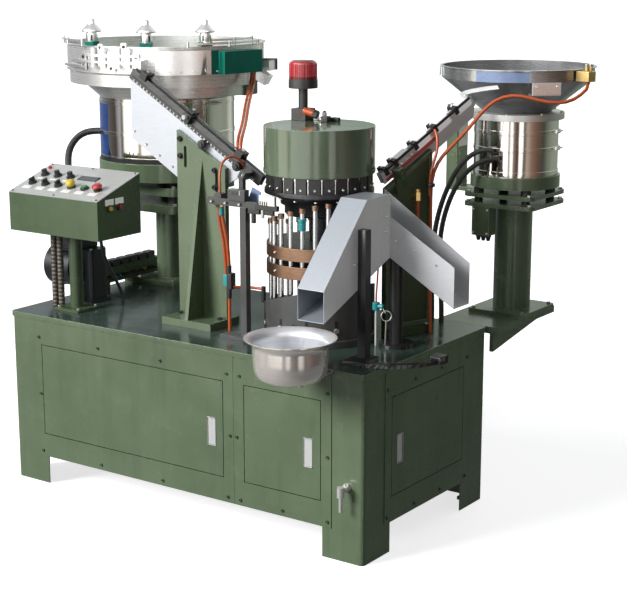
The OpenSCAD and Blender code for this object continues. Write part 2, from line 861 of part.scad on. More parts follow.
module console_face() {
    front_bores = [stem_d, stem_d, stem_d, push_d, push_d, stop_stem_d];
    label_v = control_row - bezel_d / 2 - label_gap - label_l;
    lamp_v = knob_row + 52;
    color(alloy) difference() {
        on_face(0, 0) cube([console_w, face_l, face_t]);
        for (i = [0 : 5]) on_face(control_at(i), control_row) translate([0, 0, -eps])
            cylinder(d = front_bores[i] + 1, h = face_t + 2 * eps);
        for (i = [0 : 2]) on_face(control_at(i), knob_row) translate([0, 0, -eps])
            cylinder(d = stem_d + 1, h = face_t + 2 * eps);
    }
    color(black) {
        for (i = [0 : 5]) on_face(control_at(i), control_row) bezel(front_bores[i]);
        for (i = [0 : 2]) on_face(control_at(i), knob_row) bezel(stem_d);
        on_face(control_at(2) + 40, knob_row - 12) translate([0, 0, face_t]) cube([92, 30, 3]);
        for (i = [0, 1]) on_console_side(i)
            ring(side_button_d / 2 + 5, side_button_d / 2 + pin_clear, bezel_h);
    }
    color("white") for (i = [0 : 5]) on_face(control_at(i) - label_w / 2, label_v)
        translate([0, 0, face_t]) cube([label_w, label_l, 1]);
    color("red") on_face(control_at(0) - 22, lamp_v) translate([0, 0, face_t]) cylinder(d = 14, h = 8);
}

module stem() {
    translate([0, 0, -stem_below]) cylinder(d = stem_d, h = stem_below + face_t + bezel_h + run_gap + eps);
}

module selector(i) {
    handle_t = 7;
    color(black) on_face(control_at(i), control_row) {
        stem();
        translate([0, 0, face_t + bezel_h + run_gap]) {
            cylinder(d = knob_d, h = 5);
            translate([-handle_t / 2, -knob_d / 2, 0]) cube([handle_t, knob_d, 16]);
        }
    }
}

module turn_knob(i) {
    color(black) on_face(control_at(i), knob_row) {
        stem();
        translate([0, 0, face_t + bezel_h + run_gap]) {
            cylinder(d = knob_d, h = 4);
            cylinder(d1 = knob_d - 4, d2 = knob_d - 6, h = 17);
        }
    }
}

module push(i, tint) {
    color(tint) on_face(control_at(i), control_row) translate([0, 0, -stem_below])
        cylinder(d = push_d, h = stem_below + face_t + bezel_h + push_up);
}

module side_push(i, tint) {
    color(tint) on_console_side(i) translate([0, 0, -stem_below])
        cylinder(d = side_button_d, h = stem_below + bezel_h + push_up);
}

module selector_left() { selector(0); }
module selector_middle() { selector(1); }
module selector_right() { selector(2); }
module knob_left() { turn_knob(0); }
module knob_middle() { turn_knob(1); }
module knob_right() { turn_knob(2); }
module yellow_button() { push(3, "gold"); }
module green_button() { push(4, "green"); }
module side_button_yellow() { side_push(0, "gold"); }
module side_button_red() { side_push(1, "firebrick"); }

module stop_button() {
    head_z = face_t + bezel_h + push_travel + 1;
    head_h = 13;
    color("firebrick") on_face(control_at(5), control_row) {
        translate([0, 0, -stem_below]) cylinder(d = stop_stem_d, h = stem_below + head_z + eps);
        translate([0, 0, head_z]) rotate_extrude() polygon([[0, 0], [stop_d / 2 - 3, 0], [stop_d / 2, 3],
            [stop_d / 2, head_h - 5], [stop_d / 2 - 5, head_h], [0, head_h + 1]]);
    }
}

// Feeders
module corner_mounts(spread, r, h) {
    for (sx = [-1, 1], sy = [-1, 1]) translate([sx * spread, sy * spread, 0]) cylinder(r = r, h = h);
}

module left_stand() {
    plate_w = 1.5 * left_drum_r;
    flange_w = left_column_d + 102;
    spread = plate_w / 2 - 50;
    color(green) translate([left_x, left_y, table_h]) {
        rounded_plate(flange_w, flange_w, 15, column_flange_t);
        cylinder(d = left_column_d, h = left_up);
        translate([0, 0, left_up]) rounded_plate(plate_w, plate_w, 40, stand_plate_t);
        translate([0, 0, left_up + stand_plate_t]) corner_mounts(spread, 18, stand_gap);
        translate([0, 0, left_up + stand_plate_t + stand_gap])
            rounded_plate(plate_w, plate_w, 40, stand_plate_t);
        translate([0, 0, left_up + 2 * stand_plate_t + stand_gap]) corner_mounts(spread, 26, ring_gap);
        translate([0, 0, left_up + 2 * stand_plate_t + stand_gap + ring_gap])
            cylinder(r = left_drum_r + 8, h = ring_h);
    }
}

// A feeder's drum: bright cover, clamp bands, vibrating core and the stud that carries the bowl
module feeder_drum(r, h, bands, clamp_h) {
    wall = 3;
    core_r = 0.4 * r;
    band_h = 14;
    band_out = 2;
    ring(r, r - wall, h);
    for (z = bands) translate([0, 0, z * h]) ring(r + band_out, r, band_h);
    cylinder(r = core_r, h = h - wall);
    for (q = [0 : 90 : 270]) rotate(q) translate([core_r + 8, -30, 0]) cube([6, 60, h - wall]);
    translate([0, 0, h - wall]) cylinder(r = r - wall, h = wall);
    translate([0, 0, h]) cylinder(d = bowl_stud_d, h = clamp_h + stud_h);
}

module left_drum() {
    color(steel) translate([left_x, left_y, left_drum_z])
        feeder_drum(left_drum_r, left_drum_h, [0.03, 0.42, 0.9], 0);
}

// A spun bowl with a bored floor, a cone, an upright rim and a turned-out lip
module spun_bowl(neck_r, rim_r, cone_h, rim_h) {
    lip = 7;
    hub_r = bowl_stud_d / 2 + 30;
    hub_h = stud_h - 2;
    bore_r = bowl_stud_d / 2 + pin_clear;
    rotate_extrude($fn = 128) polygon([[bore_r, 0], [neck_r, 0], [rim_r, cone_h],
        [rim_r, cone_h + rim_h - 3],
        [rim_r + lip, cone_h + rim_h - 3], [rim_r + lip, cone_h + rim_h], [rim_r - bowl_t, cone_h + rim_h],
        [rim_r - bowl_t, cone_h + bowl_t], [neck_r - 2 * bowl_t, bowl_floor_t], [hub_r, bowl_floor_t],
            [hub_r, hub_h], [bore_r, hub_h]]);
}

// The spiral ledge that the screws climb, one ring of corners every few degrees
spiral_turns = 2;
spiral_steps = 64;
ledge_w = 34;
ledge_t = 3;
ledge_in = 2;
ledge_low = 20;
ledge_high = left_cone_h + left_rim_h - 40;
wall_slope = (left_rim_r + bowl_t - left_drum_r) / (left_cone_h + bowl_t - bowl_floor_t);
function spiral_z(i) = ledge_low + (ledge_high - ledge_low) * i / spiral_steps;
function inner_r(z) = z > left_cone_h ? left_rim_r - bowl_t
    : left_drum_r - 2 * bowl_t + (z - bowl_floor_t) * wall_slope;
function spiral_ring(i) = let (z = spiral_z(i), q = 360 * spiral_turns * i / spiral_steps,
    r = inner_r(z - ledge_t) + ledge_in, low = z - ledge_t)
    [for (c = [[r, z], [r, low], [r - ledge_w, low],
        [r - ledge_w, z]]) [c[0] * cos(q), c[0] * sin(q), c[1]]];

module spiral_ledge() {
    n = spiral_steps;
    points = [for (i = [0 : n]) each spiral_ring(i)];
    walls = [for (i = [0 : n - 1], k = [0 : 3]) let (j = (k + 1) % 4)
        each [[4 * i + k, 4 * i + 4 + k, 4 * i + 4 + j], [4 * i + k, 4 * i + 4 + j, 4 * i + j]]];
    ends = [[0, 1, 2, 3], [4 * n + 3, 4 * n + 2, 4 * n + 1, 4 * n]];
    polyhedron(points, concat(walls, ends));
}

module left_bowl() {
    color(alloy) translate([left_x, left_y, left_bowl_z]) {
        spun_bowl(left_drum_r, left_rim_r, left_cone_h, left_rim_h);
        translate([0, 0, left_cone_h - skirt_drop])
            ring(left_rim_r - skirt_in, left_rim_r - skirt_in - bowl_t, skirt_drop - 2);
        spiral_ledge();
    }
}

// Tooling round the rim: return tray, box, clamping posts and the rail where the screws leave
module left_tooling() {
    rim_top = left_cone_h + left_rim_h;
    tray_r = left_rim_r + 48;
    tray_h = 88;
    tray_t = 4;
    tray_z = rim_top - tray_h - 12;
    tray_angle = 305;
    tray_turn = 32;
    post_angles = [264, 299.5, 333];
    post_h = 97;
    post_r = 20;
    cap_h = 40;
    foot = [48, 36, 14];
    box = [60, 190, 83];
    box_angle = 351;
    exit_angle = 298;
    exit_end = 480;
    exit_w = 24;
    exit_h = 40;
    exit_down = 85;
    guide_angles = [268, 275, 284, 290];
    guide = [22, 16, 74];
    color(alloy) translate([left_x, left_y, left_bowl_z]) {
        translate([0, 0, tray_z]) rotate(tray_angle) {
            rotate_extrude(angle = tray_turn, $fn = 128) translate([tray_r - tray_t, 0])
                square([tray_t, tray_h]);
            rotate_extrude(angle = tray_turn, $fn = 128)
                translate([left_rim_r, 0]) square([tray_r - left_rim_r, tray_t]);
        }
        for (q = post_angles) rotate(q) translate([left_rim_r - bowl_t, 0, rim_top]) {
            translate([-foot[0] / 2, -foot[1] / 2, 0]) cube(foot);
            cylinder(r = post_r, h = post_h - cap_h);
            translate([0, 0, post_h - cap_h]) cylinder(r1 = 1.5 * post_r, r2 = post_r / 2, h = cap_h);
        }
        for (q = guide_angles) rotate(q) translate([left_rim_r, -guide[1] / 2, rim_top - guide[2] - 5])
            cube(guide);
        rotate(exit_angle) translate([left_rim_r, -exit_w / 2, rim_top - exit_down])
            cube([exit_end - left_rim_r, exit_w, exit_h]);
    }
    color([0.05, 0.30, 0.26]) translate([left_x, left_y, left_bowl_z]) rotate(box_angle)
        translate([left_rim_r, -box[1] / 2, tray_z]) cube(box);
}

module right_stand() {
    gusset_t = 15;
    gusset_h = 65;
    shelf_x = right_x - 22;
    shelf_end = right_y + 148;
    base_h = 15;
    spread = right_plate_w / 2 - 45;
    color(green) {
        slab([shelf_x - shelf_w / 2, half_d, table_h - shelf_t],
            [shelf_x + shelf_w / 2, shelf_end, table_h]);
        for (x = [shelf_x - shelf_w / 2 + 20, shelf_x + shelf_w / 2 - 20 - gusset_t])
            translate([x, half_d, table_h - shelf_t]) rotate([90, 0, 90]) linear_extrude(gusset_t)
                polygon([[0, 0], [shelf_end - half_d - 40, 0], [0, -gusset_h]]);
        translate([right_x, right_y, table_h]) {
            rounded_plate(shelf_w - 20, shelf_w, 12, base_h);
            cylinder(d = right_column_d, h = right_up);
            translate([0, 0, right_up]) rounded_plate(right_plate_w, right_plate_w, 30, right_plate_t);
            translate([0, 0, right_up + right_plate_t]) corner_mounts(spread, 15, right_plate_gap);
            translate([0, 0, right_up + right_plate_t + right_plate_gap])
                rounded_plate(right_plate_w, right_plate_w, 30, right_plate_t);
            translate([0, 0, right_up + 2 * right_plate_t + right_plate_gap])
                corner_mounts(spread, 18, right_plate_gap);
            translate([0, 0, right_ring_z - table_h]) cylinder(r = right_drum_r + 10, h = right_ring_h);
        }
    }
}

module right_drum() {
    clamp_out = 19;
    translate([right_x, right_y, right_drum_z]) {
        color(steel) feeder_drum(right_drum_r, right_drum_h, [0.03, 0.45, 0.75], right_clamp_h);
        color(alloy) translate([0, 0, right_drum_h])
            cylinder(r = right_drum_r + clamp_out, h = right_clamp_h);
    }
}

module right_bowl() {
    neck_in = 30;
    color(alloy) translate([right_x, right_y, right_bowl_z])
        spun_bowl(right_drum_r - neck_in, right_rim_r, right_cone_h, right_rim_h);
}

// Feeder controller on an arm from the right stand, and the terminal box below the lower plate
module feeder_controller() {
    plate_left = right_x - right_plate_w / 2;
    plate_front = right_y - right_plate_w / 2;
    plate_z = table_h + right_up;
    arm_z = plate_z + right_plate_t + right_plate_gap;
    box = [45, 80, 300];
    reach = 126;
    box_y = right_y - box[1] / 2;
    terminal = [70, 55, 105];
    terminal_in = 41;
    color(green) {
        slab([plate_left - reach, box_y, arm_z], [plate_left, box_y + box[1], arm_z + right_plate_t]);
        translate([plate_left - reach, box_y, arm_z + right_plate_t]) cube(box);
        translate([plate_left + terminal_in, plate_front + 3, plate_z - terminal[2]]) cube(terminal);
    }
}

// Tracks, in a frame that runs up the slope from the low end
module on_left_track() { translate([left_low_x, left_track_y, left_low_z]) rotate([0, 0, 180])
    rotate([0, -track_slope, 0]) children(); }
module on_right_track() {
    translate([right_low_x, right_low_y, right_low_z]) rotate([0, 0, right_track_turn])
        rotate([0, -track_slope, 0]) children();
}

// Two bars with a slot between them; the near bar is slotted for the gate blade
module track_bars(length, near) {
    bar_y = track_gap / 2;
    difference() {
        for (y = [-bar_y - track_t, bar_y]) translate([0, y, -track_h]) cube([length, track_t, track_h]);
        translate([gate_at - blade_w / 2 - blade_gap, near > 0 ? bar_y - eps : -bar_y - track_t - eps,
            -track_h / 2 - blade_h / 2 - blade_gap])
            cube([blade_w + 2 * blade_gap, track_t + 2 * eps, blade_h + 2 * blade_gap]);
    }
    for (x = [0.25, 0.5, 0.75]) translate([x * length, -bar_y, -track_h])
        cube([20, track_gap, track_h / 4]);
}

// The carrying plate hangs under the bars, cut off upright at its high end
module carrying_plate(length, depth, nose) {
    translate([0, plate_t / 2, -track_h]) rotate([90, 0, 0]) linear_extrude(plate_t)
        polygon([[nose, 0], [length, 0], [length - depth * tan(track_slope), -depth],
            [nose + depth * 0.6, -depth]]);
}

module left_track() { color(grey) on_left_track() track_bars(left_track_l, 1); }
module left_track_plate() { color(alloy) on_left_track() carrying_plate(left_track_l, left_plate_h, 70); }

module right_track() {
    color(alloy) on_right_track() {
        track_bars(right_track_l, -1);
        carrying_plate(right_track_l, right_plate_h, 40);
    }
}

module gate_blade(near) {
    tip = near > 0 ? track_gap / 2 + 1 : -track_gap / 2 - 1 - blade_l;
    translate([gate_at - blade_w / 2, tip, -track_h / 2 - blade_h / 2]) cube([blade_w, blade_l, blade_h]);
}

// The gate's cylinder body, bored square for the blade
module gate_cylinder(near) {
    back = track_w / 2 + gate_stroke + 6;
    length = blade_l - 18;
    low = near > 0 ? back : -back - length;
    block = [blade_w + 2 * gate_wall, length, blade_h + 2 * gate_wall];
    bore = [blade_w + 2 * blade_gap, length + 2 * eps, blade_h + 2 * blade_gap];
    difference() {
        translate([gate_at - block[0] / 2, low, -track_h / 2 - block[2] / 2]) cube(block);
        translate([gate_at - bore[0] / 2, low - eps, -track_h / 2 - bore[2] / 2]) cube(bore);
    }
}

module left_gate() { color(steel) on_left_track() gate_blade(1); }
module right_gate() { color(steel) on_right_track() gate_blade(-1); }

module slot_cut(x, z, length, w, depth) {
    translate([x, 0, z]) rotate([90, 0, 0]) translate([0, 0, -eps]) linear_extrude(depth + 2 * eps) {
        square([w, length - w], center = true);
        for (s = [-1, 1]) translate([0, s * (length - w) / 2]) circle(d = w);
    }
}

module left_tower() {
    slot_l = 76;
    slot_w = 12;
    slot_in = 38;
    slot_down = 70;
    rib_t = 15;
    base_over = 5;
    base_front = tower_front - gusset_d - base_over;
    base_z = table_h + tower_base_t;
    top_left = table_h + tower_h;
    color(green) {
        difference() {
            translate([0, tower_front + tower_t, 0]) rotate([90, 0, 0]) linear_extrude(tower_t)
                polygon([[tower_left, base_z], [tower_right, base_z],
                    [tower_right, top_left - tower_fall], [tower_left, top_left]]);
            translate([0, tower_front + tower_t, 0]) {
                slot_cut(tower_left + slot_in, top_left - slot_in * tan(track_slope) - slot_down,
                    slot_l, slot_w, tower_t);
                slot_cut(tower_right - slot_in,
                    top_left - tower_fall + slot_in * tan(track_slope) - slot_down, slot_l, slot_w,
                    tower_t);
            }
        }
        translate([(tower_left + tower_right - rib_t) / 2, tower_front, base_z]) rotate([90, 0, 90])
            linear_extrude(rib_t)
            polygon([[0, 0], [-gusset_d, 0], [0, tower_h - tower_fall]]);
        slab([tower_left, base_front, table_h],
            [tower_right + base_over, tower_front + tower_t + 45, base_z]);
    }
}

// Square post beside the turret with the arm and strap that carry the left gate's cylinder
module gate_post() {
    post_x = turret_x - 174;
    post_y = turret_y - 188;
    arm_z = table_h + 455;
    arm_h = 22;
    arm_left = tower_right + 8;
    arm_right = post_x + 60;
    foot_front = post_y - 40;
    foot_rear = post_y + gate_post_w / 2;
    valve = [30, 30, 40];
    valve_x = arm_left + 22;
    strap_x = left_low_x - gate_at * cos(track_slope) - gate_drop * sin(track_slope);
    strap_top = left_low_z + gate_at * sin(track_slope) - gate_drop * cos(track_slope) + eps;
    strap_back = left_track_y - 43;
    color(grey) {
        translate([post_x - gate_post_w / 2, post_y - gate_post_w / 2, table_h])
            cube([gate_post_w, gate_post_w, arm_z - table_h]);
        slab([post_x - 84, foot_front, table_h], [post_x + 20, foot_rear, table_h + 14]);
        slab([arm_left, post_y - arm_t / 2, arm_z], [arm_right, post_y + arm_t / 2, arm_z + arm_h]);
        slab([strap_x - strap_w / 2, post_y, arm_z], [strap_x + strap_w / 2, strap_back, arm_z + arm_h]);
        slab([strap_x - strap_w / 2, strap_back - strap_w, arm_z],
            [strap_x + strap_w / 2, strap_back, strap_top]);
    }
    color(black) {
        translate([valve_x, post_y + arm_t / 2, arm_z - 5]) cube(valve);
        on_left_track() gate_cylinder(1);
    }
}

module right_tower() {
    rib_t = 15;
    start = 14;
    end = start + right_tower_w;
    base_in = 20;
    rear_start = start + 70;
    rear_out = 75;
    near = -plate_t / 2 - tower_t;
    far = near + tower_t;
    high = right_tower_h + right_tower_w * tan(track_slope);
    strap_x = gate_at * cos(track_slope) + gate_drop * sin(track_slope);
    strap_top = right_low_z + gate_at * sin(track_slope) - gate_drop * cos(track_slope) + eps;
    strap_low = table_h + right_tower_h - 20;
    color(dark_green) {
        translate([right_low_x, right_low_y, 0]) rotate([0, 0, right_track_turn]) {
            translate([0, far, table_h]) rotate([90, 0, 0]) linear_extrude(tower_t)
                polygon([[start, tower_base_t], [end, tower_base_t], [end, high], [start, right_tower_h]]);
            translate([rear_start, far, table_h + tower_base_t]) rotate([90, 0, 90]) linear_extrude(rib_t)
                polygon([[0, 0], [rear_out - 5, 0], [0, right_tower_h - 120]]);
            slab([start, near - base_in, table_h], [end, far, table_h + tower_base_t]);
            slab([rear_start, far, table_h], [end, far + rear_out, table_h + tower_base_t]);
            slab([strap_x - strap_w / 2, near - strap_w, strap_low],
                [strap_x + strap_w / 2, near + eps, strap_top]);
        }
        on_right_track() gate_cylinder(-1);
    }
}

// Turret
module at_turret(z) { translate([turret_x, turret_y, z]) children(); }
function station_angle(i) = 360 * i / stations;
function lift(angle) = cam_up + cam_rise * cos(angle - cam_angle);

module turret_pedestal() {
    hanger_y = turret_pulley_r + 2 * belt_t + hanger_gap;
    hanger_w = 120;
    color(grey) {
        difference() {
            at_turret(table_h) {
                cylinder(r = base_r, h = base_t);
                cylinder(r = housing_r, h = base_t + housing_h);
            }
            at_turret(table_h - eps) cylinder(r = spindle_r + pin_clear, h = base_t + housing_h + 2 * eps);
        }
        at_turret(0) for (y = [-hanger_y - hanger_t, hanger_y])
            slab([-hanger_w / 2, y, hanger_z], [hanger_w / 2, y + hanger_t, under]);
        at_turret(0) slab([-hanger_w / 2, -hanger_y, hanger_z],
            [hanger_w / 2, hanger_y, hanger_z + hanger_t]);
        at_turret(hanger_z + hanger_t)
            cylinder(d = centre_d, h = cover_top - cover_t - hanger_z - hanger_t);
    }
}

module lift_cam() {
    far = 2 * base_r;
    slot_w = 14;
    slot_l = 46;
    slot_angle = cam_angle - 62;
    color(grey) difference() {
        at_turret(table_h + base_t) ring(cam_r + cam_t, cam_r, cam_up + cam_rise);
        at_turret(table_h + cam_up) rotate([0, 0, cam_angle])
            rotate([0, -atan(cam_rise / (cam_r + cam_t / 2)), 0])
            translate([-far, -far, 0]) cube([2 * far, 2 * far, far]);
        at_turret(table_h + base_t + slot_l) rotate([0, 0, slot_angle])
            translate([cam_r + cam_t / 2, 0, 0]) rotate([0, 90, 0])
            cylinder(d = slot_w, h = 3 * cam_t, center = true);
    }
}

module rod_holes(h) {
    for (i = [0 : stations - 1]) rotate(station_angle(i)) translate([rod_circle_r, 0, -eps])
        cylinder(d = rod_d + 2 * rod_gap, h = h + 2 * eps);
}

// Spindle with its pulley, two rod guides and the dial
module turret_spindle() {
    color(steel) difference() {
        at_turret(0) {
            translate([0, 0, spindle_low]) cylinder(r = spindle_r, h = dial_z - spindle_low);
            translate([0, 0, belt_z]) pulley(turret_pulley_r, 0);
            for (z = [0, guide_pitch]) translate([0, 0, table_h + guide_up + z]) difference() {
                cylinder(r = guide_r, h = guide_h);
                rod_holes(guide_h);
            }
            translate([0, 0, dial_z - dial_t]) difference() {
                cylinder(r = dial_r, h = dial_t);
                rod_holes(dial_t);
            }
        }
        at_turret(spindle_low - eps) cylinder(r = centre_r + pin_clear, h = dial_z - spindle_low + 2 * eps);
    }
}

module station_blocks() {
    bore_d = rod_d - 4;
    color(black) at_turret(dial_z) for (i = [0 : stations - 1]) rotate(station_angle(i)) difference() {
        translate([block_out - block_d, -block_w / 2, 0]) cube([block_d, block_w, block_h]);
        translate([rod_circle_r, 0, -eps]) cylinder(d = bore_d, h = block_h + 2 * eps);
    }
}

module lift_rods() {
    tip = 4;
    for (i = [0 : stations - 1]) at_turret(table_h + lift(station_angle(i))) rotate(station_angle(i))
        translate([rod_circle_r, 0, 0]) {
        color(steel) cylinder(d1 = rod_d - tip, d2 = rod_d, h = tip);
        color(steel) translate([0, 0, tip]) cylinder(d = rod_d, h = rod_l - tip);
        color(brown) translate([0, 0, rod_l - collar_h]) cylinder(d = collar_d, h = collar_h);
    }
}

module rod_bands() {
    color(brown) for (z = [0, guide_pitch]) at_turret(table_h + guide_up + z)
        ring(guide_r + band_t, guide_r, guide_h);
}

module drum_cover() {
    color(green) difference() {
        at_turret(cover_z) cylinder(r = cover_r, h = cover_h, $fn = 128);
        at_turret(cover_z - eps) cylinder(r = cover_r - cover_t, h = cover_h - cover_t + eps, $fn = 128);
    }
}

module beacon() {
    block_w = 60;
    block_h = 41;
    pole_d = 32;
    cup_h = 30;
    dome = 8;
    color(black) at_turret(cover_top) rotate(beacon_angle) translate([beacon_out, 0, 0])
        rotate(-beacon_angle) {
        translate([-block_w / 2, -block_w / 2, 0]) cube([block_w, block_w, block_h]);
        cylinder(d = pole_d, h = beacon_pole);
        translate([0, 0, beacon_pole]) cylinder(r = beacon_r, h = cup_h);
        color("red") translate([0, 0, beacon_pole + cup_h]) rotate_extrude()
            polygon([[0, 0], [beacon_r - 2, 0],
            [beacon_r - 2, beacon_h - dome], [beacon_r - 2 - dome, beacon_h], [0, beacon_h]]);
    }
}

// Chutes of folded sheet
module across(x, w) { translate([x, 0, 0]) rotate([90, 0, 90]) linear_extrude(w) children(); }
module sheet_strip(a, b) { polygon([a, b, b - [0, chute_t], a - [0, chute_t]]); }

module front_chute() {
    mouth_low = [chute_mouth_y, chute_mouth_z];
    mouth_high = [chute_mouth_y, chute_mouth_z + chute_mouth_h];
    hub_front = [chute_mid_y - chute_hub, chute_top_z];
    hub_back = [chute_mid_y, chute_top_z];
    back_low = [chute_mid_y, chute_back_z];
    inner_w = chute_w - 2 * chute_t;
    entry = 76;
    color(alloy) {
        difference() {
            for (x = [chute_x, chute_right - chute_t]) across(x, chute_t)
                polygon([mouth_low, mouth_high, hub_front, hub_back, back_low]);
            translate([chute_x - eps, chute_mid_y - entry - 12, chute_top_z - entry - 12])
                cube([chute_t + 2 * eps, entry, entry]);
        }
        across(chute_x + chute_t, inner_w) sheet_strip(mouth_high, hub_front);
        across(chute_x + chute_t, inner_w) sheet_strip(hub_front, hub_back);
        across(chute_x + chute_t, inner_w) sheet_strip(mouth_low + [0, chute_t], back_low + [0, chute_t]);
        slab([chute_x + chute_t, chute_mid_y - chute_t, chute_back_z],
            [chute_right - chute_t, chute_mid_y, chute_top_z]);
    }
}

module side_chute() {
    low = chute_back_z - side_chute_fall;
    start = [side_start, chute_back_z + side_rise];
    far_y = chute_mid_y + side_chute_w;
    color(alloy) {
        translate([0, chute_mid_y + chute_t, 0]) rotate([90, 0, 0]) linear_extrude(chute_t)
            polygon([[chute_right, chute_back_z], [side_end, low], [side_end, low + side_wall_h],
                [chute_right, chute_back_z + side_wall_h]]);
        translate([0, far_y, 0]) rotate([90, 0, 0]) linear_extrude(chute_t)
            polygon([start, [side_end, low], [side_end, low + side_wall_h], [side_start, chute_top_z]]);
        translate([0, far_y - chute_t, 0]) rotate([90, 0, 0]) linear_extrude(side_chute_w - chute_t)
            polygon([start, [side_end, low], [side_end, low + chute_t], start + [0, chute_t]]);
    }
}

// Square post and round column under the chutes, with the curved foot bar
module chute_post() {
    post_y = chute_mid_y - 175;
    foot_t = 12;
    bar_r = 204;
    bar_w = 22;
    bar_x = chute_right + 25;
    bar_y = chute_mid_y - 29;
    column_x = chute_right - 3;
    column_y = chute_mid_y + side_chute_w / 2;
    block = 500;
    color(black) {
        translate([chute_right, post_y - chute_post_w / 2, table_h])
            cube([chute_post_w, chute_post_w, chute_post_h]);
        slab([chute_right - 20, bar_y - bar_r - bar_w / 2, table_h],
            [chute_right + 50, post_y + 35, table_h + foot_t]);
        translate([bar_x, bar_y, table_h]) rotate(262) rotate_extrude(angle = 90, $fn = 96)
            translate([bar_r - bar_w / 2, 0]) square([bar_w, foot_t]);
        translate([bar_x, bar_y, table_h]) rotate(352) translate([bar_r - 22, -20, 0]) cube([44, 40, 26]);
        translate([column_x, column_y, table_h]) cylinder(d = 117, h = foot_t);
        difference() {
            translate([column_x, column_y, table_h]) cylinder(d = chute_column_d, h = chute_top);
            translate([chute_right, 0, chute_back_z]) rotate([0, side_angle, 0])
                translate([-block, -block, 0]) cube(2 * block);
        }
    }
}

// Catch bowl and its bracket on the table's edge
module catch_bowl() {
    foot_h = 18;
    flare_h = 22;
    lip = 3;
    t = catch_t;
    color(steel) translate([catch_x, catch_y, catch_z]) rotate_extrude($fn = 96)
        polygon([[0, 0], [catch_base_r, 0],
        [catch_r - 5, foot_h], [catch_r, 2.4 * foot_h], [catch_r, catch_h - flare_h],
            [catch_rim_r - 6, catch_h - lip],
        [catch_rim_r, catch_h - lip], [catch_rim_r, catch_h], [catch_rim_r - 7, catch_h],
            [catch_r - t, catch_h - flare_h + t],
        [catch_r - t, 2.4 * foot_h], [catch_r - 5 - t, foot_h + t / 2], [catch_base_r - t / 2, t], [0, t]]);
}

module catch_bracket() {
    arm = 120;
    top = catch_z - seat_gap;
    color(dark_green) {
        slab([catch_x - arm / 2, catch_y - 30, top - catch_bracket_t], [catch_x + arm / 2, -half_d, top]);
        slab([catch_x - arm / 2, -half_d - catch_bracket_t, top], [catch_x + arm / 2, -half_d, table_h]);
    }
}

// Hoses, cables and air parts
module air_hoses() {
    color("orangered") {
        tube(left_hose, hose_r);
        tube(right_hose, hose_r);
        tube(bowl_hose, hose_r);
        tube(bowl_hose_2, hose_r);
    }
}

module cable_conduits() {
    color(black) {
        tube(left_conduit, conduit_r);
        for (route = right_conduits) tube(route, lead_r);
        tube(console_cable, cable_r);
    }
    color(steel) for (route = flex_routes) tube(route, flex_r);
}

module valve_manifold() {
    body = [40, 340, 60];
    corner = [18 - half_w, 40, table_h + 26];
    foot = 22;
    valves = 6;
    pitch = 52;
    color(black) {
        translate(corner) cube(body);
        for (y = [20, 170]) translate([corner[0], corner[1] + y, table_h])
            cube([body[0], foot, corner[2] - table_h]);
        for (i = [0 : valves - 1])
            translate([corner[0] + 4, corner[1] + 14 + i * pitch, corner[2] + body[2]]) cube([32, 40, 26]);
    }
}

module air_inlet() {
    inlet_x = half_w - 65;
    inlet_z = 257;
    nozzle_r = 6;
    reach = 38;
    color(alloy) translate([inlet_x, -frame_y, inlet_z]) {
        rotate([90, 0, 0]) cylinder(r = 15, h = 8, $fn = 6);
        rotate([90, 0, 0]) cylinder(r = 8, h = reach);
        translate([0, -reach, -22]) cylinder(r = 12, h = 34);
        translate([0, -reach, -72]) cylinder(r = nozzle_r, h = 50);
    }
}

cabinet_frame();
table_top();
front_panels();
side_panels();
large_door();
small_door();
side_door();
large_door_latch();
small_door_latch();
side_door_latch();
control_gear();
drive_motor();
drive_pulley();
drive_belt();
console_box();
console_face();
selector_left();
selector_middle();
selector_right();
knob_left();
knob_middle();
knob_right();
yellow_button();
green_button();
stop_button();
side_button_yellow();
side_button_red();
left_stand();
left_drum();
left_bowl();
left_tooling();
right_stand();
right_drum();
right_bowl();
feeder_controller();
left_tower();
left_track_plate();
left_track();
gate_post();
left_gate();
right_tower();
right_track();
right_gate();
turret_pedestal();
lift_cam();
turret_spindle();
station_blocks();
lift_rods();
rod_bands();
drum_cover();
beacon();
front_chute();
side_chute();
chute_post();
catch_bowl();
catch_bracket();
air_hoses();
cable_conduits();
valve_manifold();
air_inlet();
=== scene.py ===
import json
import math
import bpy
import bmesh
from mathutils import Matrix, Vector

